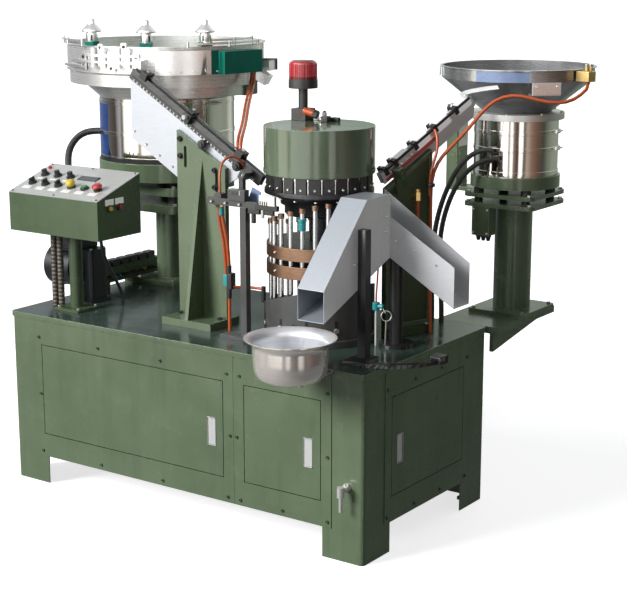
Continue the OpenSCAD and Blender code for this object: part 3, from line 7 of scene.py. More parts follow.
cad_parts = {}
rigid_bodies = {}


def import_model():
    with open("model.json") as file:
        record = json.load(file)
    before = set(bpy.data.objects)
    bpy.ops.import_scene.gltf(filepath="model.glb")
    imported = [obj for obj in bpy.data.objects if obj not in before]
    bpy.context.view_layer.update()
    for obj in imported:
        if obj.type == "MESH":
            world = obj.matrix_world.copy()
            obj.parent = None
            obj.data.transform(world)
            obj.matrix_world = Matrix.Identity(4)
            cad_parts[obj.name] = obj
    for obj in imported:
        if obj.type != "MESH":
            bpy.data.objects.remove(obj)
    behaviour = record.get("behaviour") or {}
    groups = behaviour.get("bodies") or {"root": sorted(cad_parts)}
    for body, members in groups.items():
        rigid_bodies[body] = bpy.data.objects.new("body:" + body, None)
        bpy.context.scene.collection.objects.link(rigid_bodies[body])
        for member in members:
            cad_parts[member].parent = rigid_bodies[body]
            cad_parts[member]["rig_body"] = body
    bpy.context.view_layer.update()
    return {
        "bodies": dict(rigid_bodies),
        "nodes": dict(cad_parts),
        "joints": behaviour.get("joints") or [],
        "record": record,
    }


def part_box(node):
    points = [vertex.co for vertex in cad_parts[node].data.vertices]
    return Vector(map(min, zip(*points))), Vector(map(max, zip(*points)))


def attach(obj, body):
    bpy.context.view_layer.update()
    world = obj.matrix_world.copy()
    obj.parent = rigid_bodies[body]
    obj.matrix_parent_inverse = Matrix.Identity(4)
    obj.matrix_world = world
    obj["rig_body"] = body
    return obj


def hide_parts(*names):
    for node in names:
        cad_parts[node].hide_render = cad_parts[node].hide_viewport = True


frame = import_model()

mm = 0.001
scene = bpy.context.scene
nodes = frame["nodes"]
upward, downward = (0, 0, 1), (0, 0, -1)
toRight, toLeft, toFront, toBack = (1, 0, 0), (-1, 0, 0), (0, -1, 0), (0, 1, 0)


# Places: sizes in mm, angles in degrees
def turnTo(axis):
    return Vector(axis).to_track_quat("Z", "Y").to_matrix().to_4x4()


def spot(x, y, z, turn=0.0, axis="Z"):
    return Matrix.Translation(Vector((x, y, z)) * mm) @ Matrix.Rotation(math.radians(turn), 4, axis)


def at(x, y, z, axis=upward, spin=0.0):   # the part's own Z points along axis
    return spot(x, y, z) @ turnTo(axis) @ Matrix.Rotation(math.radians(spin), 4, "Z")


def inFrame(base, x, y, z, way=None):   # a place, and a direction where one is given, in another frame
    return base @ (at(x, y, z, way) if way else spot(x, y, z))


def outward(angle):
    return (math.cos(math.radians(angle)), math.sin(math.radians(angle)), 0)


def around(centre, radius, angle, z=0.0):
    out = outward(angle)
    return (centre[0] + radius * out[0], centre[1] + radius * out[1], z)


def onRing(centre, radius, angle, z, turn=None):   # on a circle, facing outwards unless a turn is given
    return spot(*around(centre, radius, angle, z), angle if turn is None else turn)


def fromRing(centre, radius, angle, z):   # on a circle, the part's own Z points outwards
    return at(*around(centre, radius, angle, z), outward(angle))


def corners(centre, dx, dy, z):
    return [(centre[0] + sx * dx, centre[1] + sy * dy, z) for sx in (-1, 1) for sy in (-1, 1)]


# Parts
def rounded(part, edges, width, segments=2, worn=1.0):
    wear = part.faces.layers.float.get("wornEdge") or part.faces.layers.float.new("wornEdge")
    made = bmesh.ops.bevel(part, geom=edges, offset=width * mm, offset_type="OFFSET", segments=segments,
                           profile=0.5, affect="EDGES", clamp_overlap=True, material=-1)
    for face in made["faces"]:
        face[wear] = worn


def welded(part):
    bmesh.ops.remove_doubles(part, verts=part.verts, dist=1e-6)
    bmesh.ops.recalc_face_normals(part, faces=part.faces)
    return part


def block(size, edge=0.0):
    part = bmesh.new()
    bmesh.ops.create_cube(part, size=mm)
    bmesh.ops.scale(part, vec=size, verts=part.verts)
    if edge:
        rounded(part, part.edges[:], edge)
    return part


def rod(radius, height, edge=0.0, sides=24, top=None):
    part = bmesh.new()
    bmesh.ops.create_cone(part, cap_ends=True, segments=sides, radius1=radius * mm,
                          radius2=(radius if top is None else top) * mm, depth=height * mm)
    bmesh.ops.translate(part, vec=(0, 0, height * mm / 2), verts=part.verts)
    if edge:
        rims = [e for e in part.edges if abs(e.verts[0].co.z - e.verts[1].co.z) < 1e-7]
        rounded(part, rims, edge)
    return part


def turned(profile, sides=64):
    part = bmesh.new()
    line = [part.verts.new((r * mm, 0, z * mm)) for r, z in profile]
    edges = [part.edges.new(pair) for pair in zip(line, line[1:])]
    bmesh.ops.spin(part, geom=line + edges, cent=(0, 0, 0), axis=(0, 0, 1), angle=math.tau,
                   steps=sides, use_merge=True)
    return welded(part)


def hoop(inner, outer, height, sides, edge=0.5):
    return turned([(inner, 0), (outer, edge), (outer, height - edge), (inner, height)], sides)


def capScrew(radius):
    h = radius * 0.95
    return turned([(0, -h * 0.2), (radius, -h * 0.2), (radius, h * 0.8), (radius * 0.84, h),
                   (radius * 0.52, h), (radius * 0.46, h * 0.45), (0, h * 0.45)], 12)


def hexBolt(radius, height=None):
    return rod(radius, height or radius * 0.8, radius * 0.1, 6)


def flatSheet(width, height, place):
    part = bmesh.new()
    bmesh.ops.create_grid(part, x_segments=1, y_segments=1, size=0.5)
    bmesh.ops.scale(part, vec=(width * mm, height * mm, 1), verts=part.verts)
    bmesh.ops.transform(part, matrix=place, verts=part.verts)
    return part


def sweptBar(path, width, height):   # flat bar bent along a path, width across it and height up
    points = [Vector(p) * mm for p in path]
    heading = (points[1] - points[0]).normalized()
    across = heading.cross(Vector((0, 0, 1))).normalized()
    turn = Matrix((across, across.cross(heading), -heading)).transposed().to_4x4()
    part = flatSheet(width, height, Matrix.Translation(points[0]) @ turn)
    end = part.faces[:]
    for a, b in zip(points, points[1:]):
        grown = bmesh.ops.extrude_face_region(part, geom=end)["geom"]
        bmesh.ops.translate(part, vec=b - a, verts=[v for v in grown if isinstance(v, bmesh.types.BMVert)])
        end = [f for f in grown if isinstance(f, bmesh.types.BMFace)]
    return welded(part)


def arcBar(inner, outer, low, high, start, end, steps=24):   # flat bar bent round the Z axis
    middle = spot((inner + outer) / 2, 0, (low + high) / 2, 90, "X")
    part = flatSheet(outer - inner, high - low, Matrix.Rotation(math.radians(start), 4, "Z") @ middle)
    bmesh.ops.spin(part, geom=part.verts[:] + part.edges[:] + part.faces[:], cent=(0, 0, 0), axis=(0, 0, 1),
                   angle=math.radians(end - start), steps=steps)
    return welded(part)


def join(piece, part, place=None, tint=0):
    for face in part.faces:
        face.material_index = tint
    if place:
        bmesh.ops.transform(part, matrix=place, verts=part.verts)
    holder = bpy.data.meshes.new("holder")
    part.to_mesh(holder)
    part.free()
    piece.from_mesh(holder)
    bpy.data.meshes.remove(holder)


def addBlock(piece, low, high, edge=1.0, tint=0):
    size = [b - a for a, b in zip(low, high)]
    join(piece, block(size, edge), spot(*[(a + b) / 2 for a, b in zip(low, high)]), tint)


def screwsAt(piece, places, radius, axis=upward, tint=1, hexed=False):
    for x, y, z in places:
        join(piece, hexBolt(radius) if hexed else capScrew(radius), at(x, y, z, axis, (x * 7 + z * 3) % 60), tint)


def addParts(piece, facts):
    for low, high, edge, tint in facts.get("blocks", ()):
        addBlock(piece, low, high, edge, tint)
    for foot, way, size, tint in facts.get("rods", ()):
        join(piece, rod(*size), at(*foot, way), tint)


# Pieces
def dropLoose(piece, unwanted):   # takes out whole separate bodies whose middle is unwanted
    left = set(piece.verts)
    while left:
        seed = left.pop()
        group, edge = {seed}, [seed]
        while edge:
            for link in edge.pop().link_edges:
                for vert in link.verts:
                    if vert not in group:
                        group.add(vert)
                        edge.append(vert)
        left -= group
        middle = sum((v.co for v in group), Vector()) / len(group) / mm
        if unwanted(middle):
            bmesh.ops.delete(piece, geom=list(group), context="VERTS")


def cadCopy(node, edge=1.0, tintOf=None, sharp=30.0, soft=None):
    piece = bmesh.new()
    piece.from_mesh(nodes[node].data)
    bmesh.ops.remove_doubles(piece, verts=piece.verts, dist=2e-6)
    bmesh.ops.dissolve_limit(piece, angle_limit=math.radians(0.6), verts=piece.verts, edges=piece.edges)
    for face in piece.faces:
        face.material_index = tintOf(face.calc_center_median() / mm, face.normal) if tintOf else 0
    if soft:   # outer upright corners that are rolled rather than broken
        corner, width = soft

        def onCorner(vert):
            return all(abs(abs(vert.co[i]) - corner[i] * mm) < 1e-5 for i in (0, 1))
        rounded(piece, [e for e in piece.edges if onCorner(e.verts[0]) and onCorner(e.verts[1])], width, 5, 0.0)
    hard = [e for e in piece.edges if e.is_manifold and e.calc_face_angle(0) > math.radians(sharp)]
    rounded(piece, hard, edge)
    return piece


def easeFit(piece, frame, low, high, share, top=None):   # trims a turning fit: radii low to high about the frame's Z
    back = frame.inverted()
    for vert in piece.verts:
        place = back @ vert.co
        if low <= math.hypot(place.x, place.y) / mm <= high and (top is None or place.z / mm < top):
            vert.co = frame @ Vector((place.x * share, place.y * share, place.z))


def finishPiece(name, piece, finishes, node=None):   # with no node it is the scene's own, on the base
    mesh = bpy.data.meshes.new(name)
    piece.to_mesh(mesh)
    piece.free()
    for one in finishes:
        mesh.materials.append(one)
    mesh.shade_smooth()
    mesh.set_sharp_from_angle(angle=math.radians(48))
    thing = bpy.data.objects.new(name, mesh)
    scene.collection.objects.link(thing)
    thing.modifiers.new("flatFaces", "WEIGHTED_NORMAL").keep_sharp = True
    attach(thing, nodes[node]["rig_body"] if node else "base")
    if node:
        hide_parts(node)


def plainPiece(name, node, edge, look):
    finishPiece(name, cadCopy(node, edge), [look], node)


# Finishes
def addNode(tree, kind, sockets=None, **settings):
    node = tree.nodes.new("ShaderNode" + kind)
    for label, value in settings.items():
        setattr(node, label, value)
    for label, value in (sockets or {}).items():
        if isinstance(value, bpy.types.NodeSocket):
            tree.links.new(value, node.inputs[label])
        else:
            node.inputs[label].default_value = value
    return node


def spread(tree, value, low, high, toLow=0.0, toHigh=1.0):
    return addNode(tree, "MapRange", {"Value": value, "From Min": low, "From Max": high,
                                      "To Min": toLow, "To Max": toHigh}).outputs["Result"]


def blendColour(tree, factor, first, second):
    return addNode(tree, "Mix", {0: factor, 6: first, 7: second}, data_type="RGBA").outputs[2]


def noise(tree, vector, scale, detail=3.0, rough=0.55):
    return addNode(tree, "TexNoise", {"Vector": vector, "Scale": scale, "Detail": detail,
                                      "Roughness": rough}).outputs["Fac"]


def math2(tree, operation, a, b=0.0):
    return addNode(tree, "Math", {0: a, 1: b}, operation=operation).outputs[0]


def objectPlace(tree):
    return addNode(tree, "TexCoord").outputs["Object"]


def wornEdge(tree):
    return addNode(tree, "Attribute", attribute_name="wornEdge").outputs["Fac"]


skinOut = {"Colour": "Color", "Roughness": "Float", "Height": "Float"}


def openSkin(name, extra):
    group = bpy.data.node_groups.new(name, "ShaderNodeTree")
    for label, kind in {"Tone": "Color", "Shade": "Color", "Gloss": "Float", **extra}.items():
        group.interface.new_socket(label, in_out="INPUT", socket_type="NodeSocket" + kind)
    for label, kind in skinOut.items():
        group.interface.new_socket(label, in_out="OUTPUT", socket_type="NodeSocket" + kind)
    return group, group.nodes.new("NodeGroupInput").outputs, objectPlace(group)


def closeSkin(group, *ends):
    last = group.nodes.new("NodeGroupOutput")
    for label, socket in zip(skinOut, ends):
        group.links.new(socket, last.inputs[label])
    return group


def metalSkin(group, ins, lines, cloud, share, dull, bright):   # fine lines over broad clouds, mixed by share
    both = math2(group, "ADD", math2(group, "MULTIPLY", lines, share), math2(group, "MULTIPLY", cloud, 1 - share))
    colour = blendColour(group, spread(group, both, 0.36, 0.64), ins["Shade"], ins["Tone"])
    rough = math2(group, "ADD", ins["Gloss"], spread(group, both, 0.3, 0.7, dull, bright))
    return closeSkin(group, colour, rough, lines)


def enamelGroup():   # sprayed machine paint: broad tone shift, run marks, worn edges, orange peel
    group, ins, where = openSkin("enamelSkin", {"Worn": "Color", "Grime": "Float"})
    broad = noise(group, where, 3.1, 5.0, 0.6)
    colour = blendColour(group, spread(group, broad, 0.36, 0.66), ins["Tone"], ins["Shade"])
    long = addNode(group, "Mapping", {"Vector": where, "Scale": (22, 22, 2.2)}).outputs["Vector"]
    runs = spread(group, noise(group, long, 1.0, 6.0, 0.62), 0.5, 0.76)
    colour = blendColour(group, math2(group, "MULTIPLY", runs, ins["Grime"]), colour, (0.03, 0.032, 0.026, 1))
    fine = noise(group, where, 60.0, 4.0, 0.7)
    bare = math2(group, "MULTIPLY", wornEdge(group), spread(group, fine, 0.42, 0.6))
    colour = blendColour(group, bare, colour, ins["Worn"])
    uneven = spread(group, noise(group, where, 11.0, 5.0), 0.3, 0.7, -0.08, 0.12)
    peel = noise(group, where, 330.0, 2.0, 0.5)
    return closeSkin(group, colour, math2(group, "ADD", ins["Gloss"], uneven), peel)


def grainGroup():   # brushed or milled metal, grain along the axis with the smallest stretch
    group, ins, where = openSkin("grainSkin", {"Stretch": "Vector"})
    pulled = addNode(group, "Mapping", {"Vector": where, "Scale": ins["Stretch"]}).outputs["Vector"]
    lines, cloud = noise(group, pulled, 1.0, 5.0, 0.7), noise(group, where, 7.0, 5.0, 0.62)
    return metalSkin(group, ins, lines, cloud, 0.6, 0.09, -0.07)


def spunGroup():   # metal spun on a lathe: rings about the piece's own axis
    group, ins, where = openSkin("spunSkin", {"Centre": "Vector", "Rings": "Float"})
    off = addNode(group, "VectorMath", {0: where, 1: ins["Centre"]}, operation="SUBTRACT").outputs[0]
    split = addNode(group, "SeparateXYZ", {0: off}).outputs
    flat = addNode(group, "CombineXYZ", {0: split[0], 1: split[1]}).outputs[0]
    reach = addNode(group, "VectorMath", {0: flat}, operation="LENGTH").outputs["Value"]
    across, up = (math2(group, "MULTIPLY", way, ins["Rings"]) for way in (reach, split[2]))
    ring = addNode(group, "CombineXYZ", {0: across, 1: up}).outputs[0]
    lines, cloud = noise(group, ring, 1.0, 3.0, 0.6), noise(group, where, 9.0, 5.0, 0.65)
    return metalSkin(group, ins, lines, cloud, 0.55, 0.1, -0.06)


def mouldedGroup():   # plastic and rubber: fine spark texture and handled patches
    group, ins, where = openSkin("mouldedSkin", {"Grain": "Float"})
    cloud = noise(group, where, 26.0, 5.0, 0.65)
    spark = addNode(group, "TexNoise", {"Vector": where, "Scale": ins["Grain"], "Detail": 2.0}).outputs["Fac"]
    colour = blendColour(group, spread(group, cloud, 0.35, 0.68), ins["Tone"], ins["Shade"])
    rough = math2(group, "ADD", ins["Gloss"], spread(group, cloud, 0.3, 0.7, -0.08, 0.1))
    rough = math2(group, "SUBTRACT", rough, math2(group, "MULTIPLY", wornEdge(group), 0.08))
    return closeSkin(group, colour, rough, spark)


groups = {"enamel": enamelGroup(), "grain": grainGroup(), "spun": spunGroup(), "moulded": mouldedGroup()}


def openFinish(name, kind, values):
    made = bpy.data.materials.new(name)
    made.use_nodes = True
    tree = made.node_tree
    shader = tree.nodes["Principled BSDF"]
    skin = tree.nodes.new("ShaderNodeGroup")
    skin.node_tree = groups[kind]
    for label, value in values.items():
        skin.inputs[label].default_value = (*value, 1) if label in ("Tone", "Shade", "Worn") else value
    tree.links.new(skin.outputs["Roughness"], shader.inputs["Roughness"])
    return made, tree, shader.inputs, skin.outputs


def closeFinish(tree, sockets, colour, height, bump, depth, plain):
    relief = addNode(tree, "Bump", {"Height": height, "Strength": bump, "Distance": depth * mm})
    tree.links.new(colour, sockets["Base Color"])
    tree.links.new(relief.outputs["Normal"], sockets["Normal"])
    for label, value in (plain or {}).items():
        sockets[label].default_value = value


def finish(name, kind, values, plain, bump, depth=0.1):
    made, tree, sockets, skin = openFinish(name, kind, values)
    closeFinish(tree, sockets, skin["Colour"], skin["Height"], bump, depth, plain)
    return made


def enamel(name, tone, shade, gloss=0.42, grime=0.3, worn=None, plain=None):
    worn = worn or [min(1.0, c * 1.7 + 0.03) for c in tone]
    return finish(name, "enamel", {"Tone": tone, "Shade": shade, "Worn": worn, "Gloss": gloss, "Grime": grime},
                  plain, 0.1, 0.25)


def brushed(name, tone, shade, gloss, stretch, bump=0.1, metallic=1.0):
    return finish(name, "grain", {"Tone": tone, "Shade": shade, "Gloss": gloss, "Stretch": stretch},
                  {"Metallic": metallic}, bump)


def spun(name, tone, shade, gloss, centre, rings=420.0, bump=0.06, metallic=1.0):
    return finish(name, "spun", {"Tone": tone, "Shade": shade, "Gloss": gloss, "Rings": rings,
                                 "Centre": Vector((*centre, 0)) * mm}, {"Metallic": metallic}, bump)


def moulded(name, tone, shade, gloss=0.3, grain=700.0, plain=None, bump=0.08):
    return finish(name, "moulded", {"Tone": tone, "Shade": shade, "Gloss": gloss, "Grain": grain}, plain, bump)


def ribbed(name, tone, ribs, metallic=0.0, gloss=0.5):   # corrugated conduit, rings run across its length
    values = {"Tone": tone, "Shade": [c * 0.7 for c in tone], "Gloss": gloss, "Grain": 700.0}
    made, tree, sockets, skin = openFinish(name, "moulded", values)
    along = addNode(tree, "SeparateXYZ", {0: addNode(tree, "TexCoord").outputs["UV"]}).outputs[0]
    ring = math2(tree, "SINE", math2(tree, "MULTIPLY", along, ribs * math.tau))
    colour = blendColour(tree, spread(tree, ring, -1.0, 0.4), (*[c * 0.35 for c in tone], 1), skin["Colour"])
    closeFinish(tree, sockets, colour, ring, 0.7, 1.2, {"Metallic": metallic})
    return made


# emission for parts that are no lamps: painted glow
def lit(strength, colour=(1, 1, 1, 1)):
    return {"Emission Color": colour, "Emission Strength": strength}


def sheen(level):
    return {"Specular IOR Level": level}


leftCentre = (-640, 350)
rightCentre = (722, 682)
catchCentre = (603, -545)

sage = enamel("sageEnamel", (0.152, 0.207, 0.124), (0.120, 0.168, 0.096), 0.2, 0.22)
consoleSage = enamel("consoleEnamel", (0.088, 0.136, 0.070), (0.069, 0.110, 0.054), 0.24, 0.2, plain=sheen(0.35))
# a darker, less shiny copy of the sage for the side panels and right-facing faces: painted shade
shadedSideSage = enamel("shadedSideEnamel", (0.142, 0.204, 0.116), (0.112, 0.165, 0.090), 0.3, 0.22, plain=sheen(0.25))
coverSage = enamel("coverEnamel", (0.158, 0.208, 0.132), (0.128, 0.174, 0.104), 0.12, 0.12,
                   plain={"Coat Weight": 0.5, "Coat Roughness": 0.06})
# deep sage: darker paint on screws, housings, bases and the right tower's body, and painted shade on the left tower's
# right-facing faces
deepSageAndShade = enamel("deepSageAndShadeEnamel", (0.085, 0.122, 0.064), (0.062, 0.092, 0.046), 0.3, 0.3, plain=sheen(0.3))
tablePaint = enamel("tableEnamel", (0.060, 0.098, 0.080), (0.042, 0.070, 0.060), 0.17, 0.35)
teal = enamel("tealCoat", (0.004, 0.25, 0.18), (0.003, 0.18, 0.13), 0.34, 0.15, plain=sheen(0.15))
blackPaint = enamel("blackEnamel", (0.014, 0.015, 0.018), (0.009, 0.010, 0.012), 0.34, 0.1, (0.06, 0.06, 0.06))
gearPaint = enamel("gearGreyEnamel", (0.30, 0.31, 0.30), (0.24, 0.25, 0.25), 0.45, 0.2)
navy = enamel("motorNavyEnamel", (0.005, 0.009, 0.019), (0.003, 0.006, 0.013), 0.34, 0.25, (0.05, 0.06, 0.07))
postPaint = enamel("greyEnamel", (0.075, 0.078, 0.080), (0.050, 0.052, 0.054), 0.4)
castGrey = enamel("castGreyEnamel", (0.085, 0.088, 0.088), (0.052, 0.054, 0.054), 0.42, 0.35)
# white labels with a faint glow: painted light, they are no lamps
labelWhiteGlow = enamel("labelWhiteGlow", (0.90, 0.90, 0.89), (0.84, 0.84, 0.82), 0.45, 0.05, plain=lit(0.12))

steel = brushed("millSteel", (0.62, 0.62, 0.63), (0.42, 0.42, 0.43), 0.34, (260, 260, 30))
spindleSteel = brushed("spindleSteel", (0.085, 0.086, 0.09), (0.045, 0.046, 0.05), 0.34, (60, 60, 200))
boltSteel = brushed("boltSteel", (0.66, 0.66, 0.66), (0.45, 0.45, 0.45), 0.3, (300, 300, 300))
railAlloy = brushed("railAlloy", (0.80, 0.80, 0.81), (0.66, 0.66, 0.68), 0.36, (25, 300, 300), 0.08, 0.25)
darkSteel = brushed("darkTrackSteel", (0.10, 0.102, 0.108), (0.055, 0.056, 0.060), 0.38, (25, 300, 300))
plateAlloy = brushed("plateAlloy", (0.56, 0.585, 0.63), (0.47, 0.50, 0.56), 0.42, (14, 300, 300), 0.1, 0.35)
latchSteel = brushed("latchSteel", (0.74, 0.75, 0.74), (0.60, 0.61, 0.60), 0.36, (200, 200, 20), 0.1, 0.4)
chuteAlloy = brushed("chuteAlloy", (0.405, 0.435, 0.485), (0.325, 0.355, 0.40), 0.36, (300, 300, 12), 0.08, 0.45)
# a much paler copy of the chute metal for its right-facing flank: painted light
litFlankAlloy = brushed("chuteFlankPaintedLight", (0.92, 0.92, 0.93), (0.80, 0.80, 0.82), 0.42, (300, 300, 12), 0.08, 0.2)
sideAlloy = brushed("sideChuteAlloy", (0.62, 0.63, 0.65), (0.52, 0.53, 0.56), 0.42, (14, 300, 300), 0.08, 0.2)
trayAlloy = brushed("trayAlloy", (0.90, 0.90, 0.92), (0.78, 0.78, 0.81), 0.3, (40, 40, 500), 0.08, 0.9)
faceAlloy = brushed("faceAlloy", (0.62, 0.63, 0.61), (0.50, 0.51, 0.50), 0.4, (9, 300, 300), 0.1, 0.25)
gateSteel = brushed("gateSteel", (0.58, 0.58, 0.58), (0.42, 0.42, 0.42), 0.35, (200, 200, 200))
bronze = brushed("bandBronze", (0.32, 0.20, 0.135), (0.18, 0.105, 0.068), 0.36, (40, 40, 300))
brass = brushed("fittingBrass", (0.70, 0.50, 0.22), (0.52, 0.36, 0.14), 0.3, (200, 200, 200))
rodSteel = brushed("rodSteel", (0.72, 0.72, 0.74), (0.55, 0.55, 0.57), 0.22, (300, 300, 12))
chrome = brushed("drumChrome", (0.78, 0.76, 0.73), (0.70, 0.68, 0.65), 0.08, (30, 30, 3), 0.006)
inletAlloy = brushed("inletAlloy", (0.74, 0.74, 0.72), (0.60, 0.60, 0.58), 0.34, (200, 200, 200), 0.08, 0.6)
leftBowlAlloy = spun("leftBowlAlloy", (0.80, 0.80, 0.79), (0.62, 0.62, 0.62), 0.27, leftCentre, metallic=0.62)
rightBowlAlloy = spun("rightBowlAlloy", (0.38, 0.39, 0.405), (0.265, 0.275, 0.29), 0.22, rightCentre, metallic=0.8)
clampAlloy = spun("clampRingAlloy", (0.66, 0.66, 0.65), (0.50, 0.50, 0.49), 0.34, rightCentre, metallic=0.6)
# polished outside: its warm brown clouds are painted reflection of the surroundings over the steel's own tone
catchSteelAndReflection = spun("catchBowlSteelAndReflection", (0.98, 0.95, 0.92), (0.86, 0.78, 0.71), 0.14, catchCentre, 380.0, 0.006, 0.72)
catchInside = spun("catchBowlInside", (0.80, 0.82, 0.85), (0.60, 0.62, 0.66), 0.34, catchCentre, 300.0, 0.04, 0.6)

blackPlastic = moulded("blackPlastic", (0.016, 0.016, 0.017), (0.024, 0.024, 0.025), 0.38)
blockBlack = moulded("blockBlack", (0.011, 0.011, 0.012), (0.020, 0.020, 0.021), 0.32, 500.0)
rubber = moulded("mountRubber", (0.014, 0.014, 0.014), (0.026, 0.026, 0.025), 0.62, 400.0)
yellowPlastic = moulded("yellowPlastic", (0.86, 0.66, 0.07), (0.74, 0.55, 0.05))
greenPlastic = moulded("greenPlastic", (0.02, 0.30, 0.09), (0.015, 0.22, 0.06))
redPlastic = moulded("redPlastic", (0.56, 0.030, 0.028), (0.42, 0.020, 0.020))
whitePlastic = moulded("whitePlastic", (0.72, 0.72, 0.70), (0.60, 0.60, 0.58), 0.35)
# clear covers with a faint glow: painted light
clearCoverGlow = moulded("clearCoverGlow", (0.86, 0.87, 0.88), (0.76, 0.77, 0.79), 0.2, plain=lit(0.22))
coralStrip = moulded("coralStrip", (0.66, 0.13, 0.11), (0.52, 0.07, 0.065))
turquoisePlastic = moulded("turquoisePlastic", (0.02, 0.36, 0.38), (0.015, 0.27, 0.29))
# the faint red emission is painted glow, standing in for light coming through the lens
lensRedGlow = moulded("beaconLensGlow", (0.58, 0.018, 0.030), (0.38, 0.010, 0.018), 0.14, 120.0,
                  {"Coat Weight": 0.6, "Coat Roughness": 0.05, **lit(0.08, (0.85, 0.06, 0.09, 1))}, 0.03)
# dark red for the band at the lens foot, and painted shade on the lens top
lensDarkAndShade = moulded("lensDarkBandAndShade", (0.16, 0.012, 0.016), (0.11, 0.008, 0.010), 0.2)
hoseOrange = moulded("hoseOrange", (0.62, 0.115, 0.022), (0.50, 0.080, 0.015), 0.32, 300.0)
darkGlass = moulded("displayGlass", (0.030, 0.034, 0.036), (0.045, 0.050, 0.052), 0.12, 50.0, bump=0.01)
blueFilm = moulded("blueFilm", (0.018, 0.066, 0.25), (0.012, 0.045, 0.18), 0.16)
paleFilm = moulded("paleFilm", (0.30, 0.39, 0.62), (0.23, 0.31, 0.52), 0.2)
print("finishes made:", len(bpy.data.materials))


# Camera, light and floor, in metres
cameraView = {"place": (3.31942, -4.28496, 1.94328), "azimuth": 35.1045, "elevation": 12.993, "lens": 88.547,
              "sensor": 36.0, "reach": 200.0}
suns = {"keyLight": {"source": (-0.50, -0.80, 0.46), "strength": 3.5, "angle": 26.0},
        "backLight": {"source": (-0.1, 0.95, 0.3), "strength": 0.8, "angle": 60.0}}
sky = {"gloss": 0.62, "ambient": 0.19, "seen": 1.0}
floorFacts = {"size": 60.0, "tone": 0.84, "glow": 0.72, "shade": 0.26, "sheen": 0.34, "fade": 0.4, "fadeX": (0.3, 1.5)}
wall = {"radius": 2.7, "top": 4.5, "foot": (0.05, 0.55), "footShare": 0.22, "upper": (1.45, 1.8),
        "strength": 4.0, "upperStrength": 10.0}
# what stands round the machine, seen only in its gloss: bearing, then a colour
surround = [
    (-180, (0.16, 0.17, 0.18)), (-160, (0.08, 0.06, 0.05)), (-150, (0.50, 0.50, 0.52)), (-143, (0.06, 0.05, 0.05)),
    (-136, (2.3, 2.25, 2.0)), (-119, (2.5, 2.4, 2.1)), (-115, (0.50, 0.38, 0.32)), (-110, (0.50, 0.40, 0.34)),
    (-106, (2.3, 2.3, 2.2)), (-70, (2.2, 2.2, 2.1)), (-66, (0.50, 0.43, 0.38)), (-61, (0.55, 0.48, 0.42)),
    (-58, (1.8, 1.8, 1.75)), (-51, (1.7, 1.7, 1.65)), (-48, (0.30, 0.24, 0.20)), (-39, (0.10, 0.07, 0.06)),
    (-34, (0.20, 0.07, 0.05)), (-31, (1.9, 1.9, 1.8)), (-25, (1.6, 1.6, 1.5)), (-21, (0.08, 0.05, 0.04)),
    (-14, (0.55, 0.45, 0.38)), (0, (0.30, 0.19, 0.14)), (14, (0.16, 0.10, 0.07)), (24, (0.07, 0.07, 0.06)),
    (37, (0.20, 0.23, 0.18)), (50, (0.30, 0.34, 0.28)), (66, (0.30, 0.34, 0.28)), (84, (0.30, 0.33, 0.28)),
    (98, (0.65, 0.70, 0.62)), (112, (0.14, 0.17, 0.14)), (150, (0.42, 0.44, 0.46)), (180, (0.16, 0.17, 0.18))]


def place(name, data):
    thing = bpy.data.objects.new(name, data)
    scene.collection.objects.link(thing)
    return thing


def setCamera():
    lens = bpy.data.cameras.new("photoCamera")
    lens.lens = cameraView["lens"]
    lens.sensor_width = cameraView["sensor"]
    lens.sensor_fit = "HORIZONTAL"
    lens.clip_end = cameraView["reach"]
    camera = place("photoCamera", lens)
    camera.location = cameraView["place"]
    camera.rotation_euler = (math.radians(90 - cameraView["elevation"]), 0, math.radians(cameraView["azimuth"]))
    scene.camera = camera


def bareTree(owner):
    owner.use_nodes = True
    owner.node_tree.nodes.clear()
    return owner.node_tree


def grey(level):
    return (level, level, level, 1)


def shaderNode(tree, kind, *values):   # values in the order of the node's sockets
    return addNode(tree, kind, dict(enumerate(values))).outputs[0]


def setLight():
    scene.view_settings.view_transform = "Standard"
    for name, facts in suns.items():
        sun = bpy.data.lights.new(name, "SUN")
        sun.energy = facts["strength"]
        sun.angle = math.radians(facts["angle"])
        place(name, sun).rotation_euler = Vector(facts["source"]).to_track_quat("Z", "Y").to_euler()
    scene.world = bpy.data.worlds.new("studio")
    tree = bareTree(scene.world)
    rays = addNode(tree, "LightPath").outputs
    shiny = shaderNode(tree, "Background", (0.94, 0.97, 1.0, 1), sky["gloss"])
    even = shaderNode(tree, "Background", (0.96, 0.98, 1.0, 1), sky["ambient"])
    pale = shaderNode(tree, "Background", grey(1), sky["seen"])
    shone = shaderNode(tree, "MixShader", rays["Is Diffuse Ray"], shiny, even)
    seen = shaderNode(tree, "MixShader", rays["Is Camera Ray"], shone, pale)
    addNode(tree, "OutputWorld", {0: seen})


def stagePiece(name, part, look):
    mesh = bpy.data.meshes.new(name)
    part.to_mesh(mesh)
    part.free()
    mesh.materials.append(look)
    thing = place(name, mesh)
    return thing


